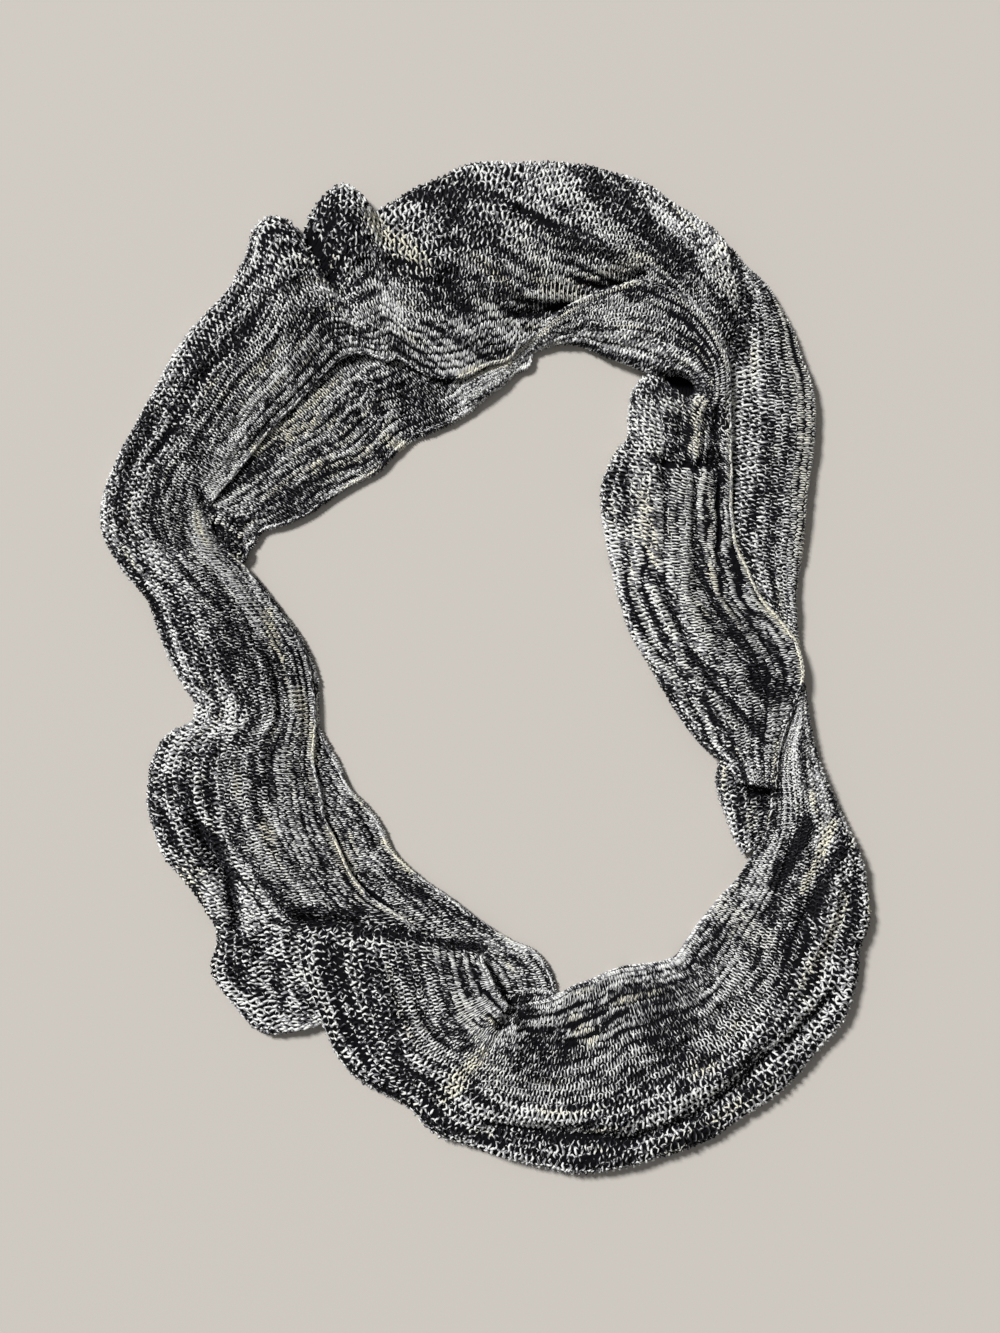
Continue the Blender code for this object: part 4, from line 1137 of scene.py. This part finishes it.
def rungs(name, cloth, block, seed):
    # Pale strands that run straight across the fine courses like the rungs of a ladder.
    grid, width, length = cloth["grid"], cloth["width"], cloth["length"]
    count = max(int(round(length / block["rungPitch"])), 1)
    samples = max(int((block["to"] - block["from"]) * width / ladder["step"]), 4)
    noise = np.random.default_rng(seed)
    f = np.linspace(block["from"] + ladder["margin"], block["to"] - ladder["margin"], samples)
    f = f[None, :]
    place = np.arange(count)[:, None] + 0.5 + noise.normal(0, ladder["spacingUneven"], (count, 1))
    place = place / count
    place = place + patches(place * length + cloth["start"], f * width, ladder["sway"]) / length
    along = np.clip(place, 0, 1) * (grid.shape[0] - 1)
    across = f * (grid.shape[1] - 1) + 0 * along
    face, normal = clothAt(cloth, along, across)
    alongPlace = cloth["start"] + place * length
    acrossPlace = f * width + 0 * place
    height = ladder["height"] + patches(alongPlace, acrossPlace, ladder["heightChanges"])
    height = height + noise.normal(0, ladder["heightUneven"], face.shape[:2])
    bandPlace = acrossPlace + slantAt(alongPlace, cloth)
    height = height + cordHeight(alongPlace, bandPlace, block)
    centre = face + normal * height[..., None]
    radius = ladder["radius"] + 0 * height
    tone = toneAt(centre, alongPlace, bandPlace, block, cloth)
    tone[..., 0] = np.clip(ladder["paler"] * tone[..., 0] + ladder["palerBy"], 0, 1)
    keep = (patches(alongPlace, bandPlace, ladder["show"]) > ladder["showFrom"])[:, :-1]
    return tubes(name, centre, normal, radius, ladder["sides"], tone, yarnMaterial, keep)


chain = {
    "radius": 0.82,
    "sides": 4,
    "step": 1.5,
    "stitch": 5.4,
    "swing": 0.95,
    "height": 1.1,
    "weave": 0.5,
    "contrast": 0.85,  # of the tone, which is then raised by this much
    "palerBy": 0.1,
}


def selvage(name, cloth, block):
    # The chain along the free edge: two plump strands, half a wave apart, that swing across
    # the edge by a sine and pass over each other by a cosine.
    grid, width = cloth["grid"], cloth["width"]
    samples = int(cloth["length"] / chain["step"]) + 2
    along = np.linspace(0, grid.shape[0] - 1, samples)[None, :] + np.zeros((2, 1))
    place = cloth["start"] + along / (grid.shape[0] - 1) * cloth["length"]
    wave = 2 * np.pi * place / chain["stitch"] + np.array([[0.0], [np.pi]])
    across = (block["edgeAt"] + chain["swing"] / width * np.sin(wave)) * (grid.shape[1] - 1)
    face, normal = clothAt(cloth, along, across)
    centre = face + normal * (chain["height"] + chain["weave"] * np.cos(wave))[..., None]
    tone = toneAt(centre, place, block["edgeAt"] * width + 0 * place, block, cloth)
    tone[..., 0] = np.clip(tone[..., 0] * chain["contrast"] + chain["palerBy"], 0, 1)
    radius = chain["radius"] + 0 * place
    keep = showing(cloth, along, across)
    return tubes(name, centre, normal, radius, chain["sides"], tone, yarnMaterial, keep)


def newNode(tree, kind, **settings):
    node = tree.nodes.new(kind)
    for key, value in settings.items():
        setattr(node, key, value)
    return node


def feed(tree, socket, value):
    # A constant is set on the socket itself, and anything else is linked to it.
    if isinstance(value, (int, float, tuple)):
        socket.default_value = value
    else:
        tree.links.new(value, socket)


def maths(tree, operation, a, b=0.5, clamp=False):
    node = newNode(tree, "ShaderNodeMath", operation=operation, use_clamp=clamp)
    feed(tree, node.inputs[0], a)
    feed(tree, node.inputs[1], b)
    return node.outputs[0]


def mix(tree, factor, a, b):
    node = newNode(tree, "ShaderNodeMix", data_type="RGBA")
    for index, value in ((0, factor), (6, a), (7, b)):
        feed(tree, node.inputs[index], value)
    return node.outputs[2]


def risesFrom(tree, value, low, high):
    # 0 up to low, 1 from high on and a straight slope between them.
    node = newNode(tree, "ShaderNodeMapRange")
    feed(tree, node.inputs["Value"], value)
    feed(tree, node.inputs["From Min"], low)
    feed(tree, node.inputs["From Max"], high)
    return node.outputs[0]


def point(tree, *values):
    node = newNode(tree, "ShaderNodeCombineXYZ")
    for socket, value in zip(node.inputs, values):
        feed(tree, socket, value)
    return node.outputs[0]


def split(tree, kind, value):
    # The parts of a colour or a vector.
    node = newNode(tree, kind)
    feed(tree, node.inputs[0], value)
    return node.outputs


def newGroup(name, inputs, outputs):
    # A node group with the named numbers as inputs, and outputs of the kinds given.
    group = bpy.data.node_groups.new(name, "ShaderNodeTree")
    for socket in inputs:
        group.interface.new_socket(socket, in_out="INPUT", socket_type="NodeSocketFloat")
    for socket, kind in outputs.items():
        group.interface.new_socket(socket, in_out="OUTPUT", socket_type="NodeSocket" + kind)
    ways = newNode(group, "NodeGroupInput").outputs
    return group, [ways[socket] for socket in inputs], newNode(group, "NodeGroupOutput").inputs


def placeGroup(tree, group, **inputs):
    node = newNode(tree, "ShaderNodeGroup", node_tree=group)
    for socket, value in inputs.items():
        feed(tree, node.inputs[socket], value)
    return node.outputs


def newWool(name):
    # A matt woollen material, its node tree and its shader.
    material = bpy.data.materials.new(name)
    material.use_nodes = True
    shader = material.node_tree.nodes["Principled BSDF"]
    shader.inputs["Roughness"].default_value = 0.95
    shader.inputs["Specular IOR Level"].default_value = 0.1
    return material, material.node_tree, shader


plies = {
    "pitch": 7.4,  # millimetres of yarn for one turn of its plies
    "paleLeast": 0.14,  # the pale ply's share of a turn at the darkest tone,
    "paleGain": 0.70,  # and how much more it has at the palest
    "greyLeast": 0.16,
    "greyGain": 0.26,
    "sharpness": 8.0,
    "wander": 3.0,  # turns by which the plies stray from an even twist
    "wanderScale": 0.11,
    "soiling": 0.55,  # how far the pale ply goes towards grey here and there
    "soilingScale": 0.31,
    "dark": (0.010, 0.010, 0.012, 1),
    "greyDark": (0.075, 0.075, 0.085, 1),
    "greyPale": (0.30, 0.30, 0.31, 1),
    "white": (0.88, 0.88, 0.85, 1),
    "cream": (0.90, 0.86, 0.66, 1),
}


def marlGroup():
    # The yarn's plies as a barber pole: where along the yarn plus where round it, in turns.
    group, ways, out = newGroup("marledPlies", ("Along", "Around", "Tone", "Cream"),
                                {"Color": "Color"})
    along, around, tone, cream = ways

    def noise(scale):
        node = newNode(group, "ShaderNodeTexNoise")
        node.inputs["Scale"].default_value = scale
        node.inputs["Detail"].default_value = 1.0
        feed(group, node.inputs["Vector"], point(group, along))
        return node.outputs["Fac"]

    def ply(share):
        # 1 where the place in the turn is before this share of it.
        left = maths(group, "SUBTRACT", share, place)
        return maths(group, "MULTIPLY", left, plies["sharpness"], clamp=True)

    def shareOf(least, gain):
        # A ply's share of the turn grows with the tone.
        return maths(group, "ADD", least, maths(group, "MULTIPLY", tone, gain))

    wander = maths(group, "MULTIPLY", noise(plies["wanderScale"]), plies["wander"])
    turns = maths(group, "ADD", maths(group, "DIVIDE", along, plies["pitch"]), around)
    place = maths(group, "FRACT", maths(group, "ADD", turns, wander))
    paleShare = shareOf(plies["paleLeast"], plies["paleGain"])
    rise = maths(group, "MULTIPLY", place, plies["sharpness"] * 1.5, clamp=True)
    pale = maths(group, "MULTIPLY", ply(paleShare), rise)
    greyShare = shareOf(plies["greyLeast"], plies["greyGain"])
    grey = ply(maths(group, "ADD", paleShare, greyShare))
    soiling = maths(group, "MULTIPLY", noise(plies["soilingScale"]), plies["soiling"])
    white = mix(group, cream, plies["white"], plies["cream"])
    white = mix(group, soiling, white, plies["greyPale"])
    greyTone = mix(group, tone, plies["greyDark"], plies["greyPale"])
    colour = mix(group, grey, plies["dark"], greyTone)
    feed(group, out["Color"], mix(group, pale, colour, white))
    return group


def yarnLook():
    material, tree, shader = newWool("marled_yarn")
    places = split(tree, "ShaderNodeSeparateXYZ",
                   newNode(tree, "ShaderNodeUVMap", uv_map="yarn").outputs[0])
    tone = newNode(tree, "ShaderNodeAttribute", attribute_name="tone").outputs["Color"]
    tones = split(tree, "ShaderNodeSeparateColor", tone)
    marled = placeGroup(tree, marlGroup(), Along=places[0], Around=places[1],
                        Tone=tones[0], Cream=tones[1])
    feed(tree, shader.inputs["Base Color"], marled["Color"])
    return material


purl = {
    "wale": 4.6,
    "course": 2.8,
    "uneven": 0.7,
    "greyFrom": 0.34,  # bumps are dark up to this share of them, then grey,
    "paleFrom": 0.62,  # and pale from here on
    "gapFrom": 0.62,  # a bump ends this far from its middle, and is whole this near it
    "gapTo": 0.2,
    "depth": 0.0008,
    # the nearly black face behind the stitches: painted shade in the holes between them
    "paintedShade": (0.003, 0.003, 0.004, 1),
    "backFrom": -0.1,  # the bumps begin to show where the face looks down by this much,
    "backTo": -0.3,  # and are all there is by here
}


def purlGroup():
    # The wrong side of the knit: rounded bumps in a brick pattern of pale, grey and dark
    # yarn, each darker and lower the further from its middle; the darkening is painted shade
    # in the gaps between the bumps.
    group, ways, out = newGroup("purlBumps", ("Along", "Across"),
                                {"Color": "Color", "Height": "Float"})
    cells = [maths(group, "DIVIDE", way, purl[size]) for way, size in zip(ways, ("wale", "course"))]
    bumps = newNode(group, "ShaderNodeTexVoronoi", voronoi_dimensions="2D")
    bumps.inputs["Scale"].default_value = 1.0
    bumps.inputs["Randomness"].default_value = purl["uneven"]
    feed(group, bumps.inputs["Vector"], point(group, *cells))
    shades = newNode(group, "ShaderNodeValToRGB")
    ramp = shades.color_ramp
    ramp.interpolation = "CONSTANT"
    ramp.elements[0].color = plies["dark"]
    ramp.elements[1].color = plies["white"]
    ramp.elements[1].position = purl["paleFrom"]
    ramp.elements.new(purl["greyFrom"]).color = plies["greyPale"]
    chance = split(group, "ShaderNodeSeparateColor", bumps.outputs["Color"])[0]
    feed(group, shades.inputs[0], chance)
    height = risesFrom(group, bumps.outputs["Distance"], purl["gapFrom"], purl["gapTo"])
    # Painted shade: towards the gaps between the bumps the colour goes to the dark ply's colour.
    feed(group, out["Color"], mix(group, height, plies["dark"], shades.outputs[0]))
    feed(group, out["Height"], height)
    return group


def backingLook():
    # Nearly black where it lies behind the stitches, as painted shade in the holes between
    # them, and knit where it faces down.
    material, tree, shader = newWool("back_layer")
    places = split(tree, "ShaderNodeSeparateXYZ",
                   newNode(tree, "ShaderNodeUVMap", uv_map="cloth").outputs[0])
    knitBack = placeGroup(tree, purlGroup(), Along=places[0], Across=places[1])
    facing = newNode(tree, "ShaderNodeNewGeometry").outputs["True Normal"]
    heading = split(tree, "ShaderNodeSeparateXYZ", facing)
    below = risesFrom(tree, heading[2], purl["backFrom"], purl["backTo"])
    feed(tree, shader.inputs["Base Color"], mix(tree, below, purl["paintedShade"], knitBack["Color"]))
    bump = newNode(tree, "ShaderNodeBump")
    bump.inputs["Distance"].default_value = purl["depth"]
    feed(tree, bump.inputs["Height"], knitBack["Height"])
    feed(tree, shader.inputs["Normal"], bump.outputs["Normal"])
    return material


yarnMaterial = yarnLook()
backingMaterial = backingLook()
print("materials made")

# Blocks of stitches, from the fold to the free edge. "from" and "to" are shares of the
# cloth's width, and wale and pitch are how long a stitch is and how far apart the courses
# are. Steps are points in a stitch and sides are those of the yarn, whose radius is in
# millimetres and which dips behind by depth, in radii. Swing, lean and uneven are shares of
# a stitch, and offset is how far every other course is shifted, as a share of half a
# stitch. Ridge and relief are how far apart the lengthwise ridges are and how deep the
# valleys go, and the valley value is how much painted shade darkens the valleys. RungPitch
# is how far apart the rungs are, and edgeAt is where the chain along the edge lies, as a
# share of the width.
loose = {"from": 0.0, "to": 0.46, "wale": 7.0, "pitch": 4.9, "steps": 8, "sides": 4,
         "swing": 0.66, "lean": 0.2, "uneven": 0.15, "radius": 1.02, "depth": 0.9,
         "ridge": 14.0, "relief": 1.2, "valleyShade": 0.3, "offset": 0.55}
middle = dict(loose, **{"from": 0.46, "to": 0.72, "wale": 5.2, "pitch": 4.0, "steps": 6,
                        "sides": 3, "swing": 0.62, "lean": 0.16, "radius": 0.98,
                        "ridge": 9.0, "relief": 1.0, "valleyShade": 0.36, "offset": 0.4})
fine = dict(middle, **{"from": 0.72, "to": 0.985, "wale": 3.5, "pitch": 4.5, "radius": 0.8,
                       "swing": 0.5, "lean": 0.06, "uneven": 0.1, "offset": 0.15,
                       "depth": 0.6, "rungPitch": 3.4, "edgeAt": 0.985})
lip = dict(middle, **{"from": 0.0, "to": 0.985, "wale": 3.8, "pitch": 4.3, "radius": 0.84,
                      "swing": 0.52, "lean": 0.08, "ridge": 8.6, "relief": 1.0, "valleyShade": 0.45,
                      "offset": 0.2, "edgeAt": 0.94})
band = (loose, middle, fine)

# The outer layer shows the same stitches laid from its other edge, and the inner layer has
# tighter ones with sharper ridges.
outerBand = tuple(dict(block, **{"from": 1 - block["to"], "to": 1 - block["from"]})
                  for block in band)
tighter = {"relief": 1.3, "valleyShade": 0.28}
innerBand = (dict(loose, wale=5.4, pitch=4.1, ridge=10.0, **tighter),
             dict(middle, wale=4.7, pitch=3.8, ridge=9.0, **tighter),
             dict(fine, wale=3.5, pitch=4.5, ridge=9.0, **tighter))

# FoldAtEnd says that a row ends at the fold, and edged that the free edge has its chain.
walls = (
    {"rows": crownWall, "spans": crownWallSpans, "creases": crownCreases, "blocks": band,
     "foldAtEnd": False, "edged": True, "seed": 1},
    {"rows": footWall, "spans": footWallSpans, "creases": footCreases, "blocks": band,
     "foldAtEnd": False, "edged": True, "seed": 2},
    {"rows": outerWall, "spans": outerWallSpans, "creases": outerCreases, "blocks": outerBand,
     "foldAtEnd": True, "edged": False, "seed": 3},
    {"rows": innerWall, "spans": innerWallSpans, "creases": innerCreases, "blocks": innerBand,
     "foldAtEnd": False, "edged": True, "seed": 4},
    {"rows": lobeWall, "spans": lobeWallSpans, "creases": lobeCreases, "blocks": band,
     "foldAtEnd": False, "edged": False, "seed": 6},
)
# Reach is how far in from its edge a lower layer is made.
unders = (
    {"rows": crownUnder, "spans": crownUnderSpans, "creases": crownLipCreases,
     "blocks": (lip,), "reach": 95, "edged": True, "seed": 7},
    {"rows": footUnder, "spans": footUnderSpans, "creases": (),
     "blocks": (lip,), "reach": 25, "edged": True, "seed": 8},
    # No yarn on the right lower layer: its nearly black shell is painted shade in the hole at the
    # mouth of the curl.
    {"rows": rightUnder, "spans": rightUnderSpans, "creases": (),
     "blocks": (), "reach": 48, "edged": False, "seed": 9},
)
wallColumns, lipColumns = 72, 60

# By seed: how much the bands of colour drift across the cloth for each millimetre along it,
# and how far along that goes on.
slants = {1: (0.6, 260)}


def sheetShell(node, cloth):
    # The shell has fewer points than the grid that its stitches lie on.
    grid = cloth["grid"]
    last, lastColumn = len(grid) - 1, grid.shape[1] - 1
    rows = np.linspace(0, last, len(grid) // shell["everyRow"] + 1).round().astype(int)
    columns = np.linspace(0, lastColumn, shell["columns"]).round().astype(int)
    rows, columns = np.unique(rows), np.unique(columns)
    places = np.stack(np.meshgrid(cloth["start"] + rows / last * cloth["length"],
                                  columns / lastColumn * cloth["width"], indexing="ij"), axis=-1)
    body = closedShell(node + "_cloth", grid[rows][:, columns], places, backingMaterial)
    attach(body, "root")
    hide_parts(node)
    return body


def layCloth(node, cloth, run):
    # One stretch: its shell, and the yarn laid on the shell's face.
    sheet = sheetShell(node, cloth)
    added = []
    for k, block in enumerate(run["blocks"]):
        added.append(knit(f"{node}_courses_{k + 1}", cloth, block, 50 * run["seed"] + k))
        if "rungPitch" in block:
            added.append(rungs(node + "_rungs", cloth, block, 50 * run["seed"] + 20))
    if run["edged"]:
        added.append(selvage(node + "_selvage", cloth, run["blocks"][-1]))
    for body in added:
        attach(body, "root")


def layRun(run, surface, columns):
    # The whole run of cloth as one smooth surface, shared out to its stretches.
    grid, along, hidden = surface
    fractions = np.linspace(0, 1, columns)
    even, widths = spreadEvenly(grid, grid, fractions)
    if hidden is not None:
        hidden = spreadEvenly(grid, hidden[..., None], fractions)[0][..., 0]
    places = rowPlaces(run["rows"])
    for node, first, last in run["spans"]:
        low = int(np.abs(along - places[first]).argmin())
        high = int(np.abs(along - places[last]).argmin())
        part = slice(low, high + 1)
        cloth = {"grid": even[part], "normals": upNormals(even[part]), "widths": widths[part],
                 "start": along[low], "length": along[high] - along[low],
                 "width": float(widths.mean()), "seed": 100 * run["seed"],
                 "hidden": None if hidden is None else hidden[part],
                 "slant": slants.get(run["seed"], (0, 0))}
        layCloth(node, cloth, run)


for run in walls:
    layRun(run, wallSurface(run["rows"], run["creases"], run["foldAtEnd"]), wallColumns)
for run in unders:
    layRun(run, lipSurface(run["rows"], run["reach"], run["creases"]), lipColumns)

# Lengths in metres. The light travels along lampHeading.
studio = {
    "floorHalf": 4.0,
    "floorColour": (0.47, 0.44, 0.40, 1),
    "floorRoughness": 0.8,
    "lampHeading": (1.1, -0.95, -1.5),
    "lampAngle": 0.22,
    "lampStrength": 4.6,
    "skyColour": (1.0, 1.0, 1.0, 1),
    "skyStrength": 0.24,
    "eye": (0.0111, 0.0011, 1.21),
    "halfView": 0.4932,  # half the height seen at this distance
    "viewDistance": 1.2,
}


def addToScene(name, data):
    body = bpy.data.objects.new(name, data)
    bpy.context.collection.objects.link(body)
    return body


def buildStudio():
    # A plain pale floor, a soft light from the upper left, a dim even sky and a camera that
    # looks straight down.
    half = studio["floorHalf"]
    floorMesh = bpy.data.meshes.new("floor")
    corners = [(-half, -half, 0), (half, -half, 0), (half, half, 0), (-half, half, 0)]
    floorMesh.from_pydata(corners, [], [(0, 1, 2, 3)])
    paint = bpy.data.materials.new("floor")
    paint.use_nodes = True
    shader = paint.node_tree.nodes["Principled BSDF"]
    shader.inputs["Base Color"].default_value = studio["floorColour"]
    shader.inputs["Roughness"].default_value = studio["floorRoughness"]
    floorMesh.materials.append(paint)
    addToScene("floor", floorMesh)
    lamp = bpy.data.lights.new("key", "SUN")
    lamp.angle = studio["lampAngle"]
    lamp.energy = studio["lampStrength"]
    key = addToScene("key", lamp)
    key.rotation_euler = Vector(studio["lampHeading"]).to_track_quat("-Z", "Y").to_euler()
    world = bpy.data.worlds.new("sky")
    world.use_nodes = True
    sky = world.node_tree.nodes["Background"]
    sky.inputs["Color"].default_value = studio["skyColour"]
    sky.inputs["Strength"].default_value = studio["skyStrength"]
    bpy.context.scene.world = world
    camera = bpy.data.cameras.new("camera")
    camera.sensor_fit = "VERTICAL"
    camera.angle = 2 * np.arctan(studio["halfView"] / studio["viewDistance"])
    eye = addToScene("camera", camera)
    eye.location = studio["eye"]
    bpy.context.scene.camera = eye
    bpy.context.scene.view_settings.view_transform = "Standard"
    print("floor, light and camera placed")


buildStudio()
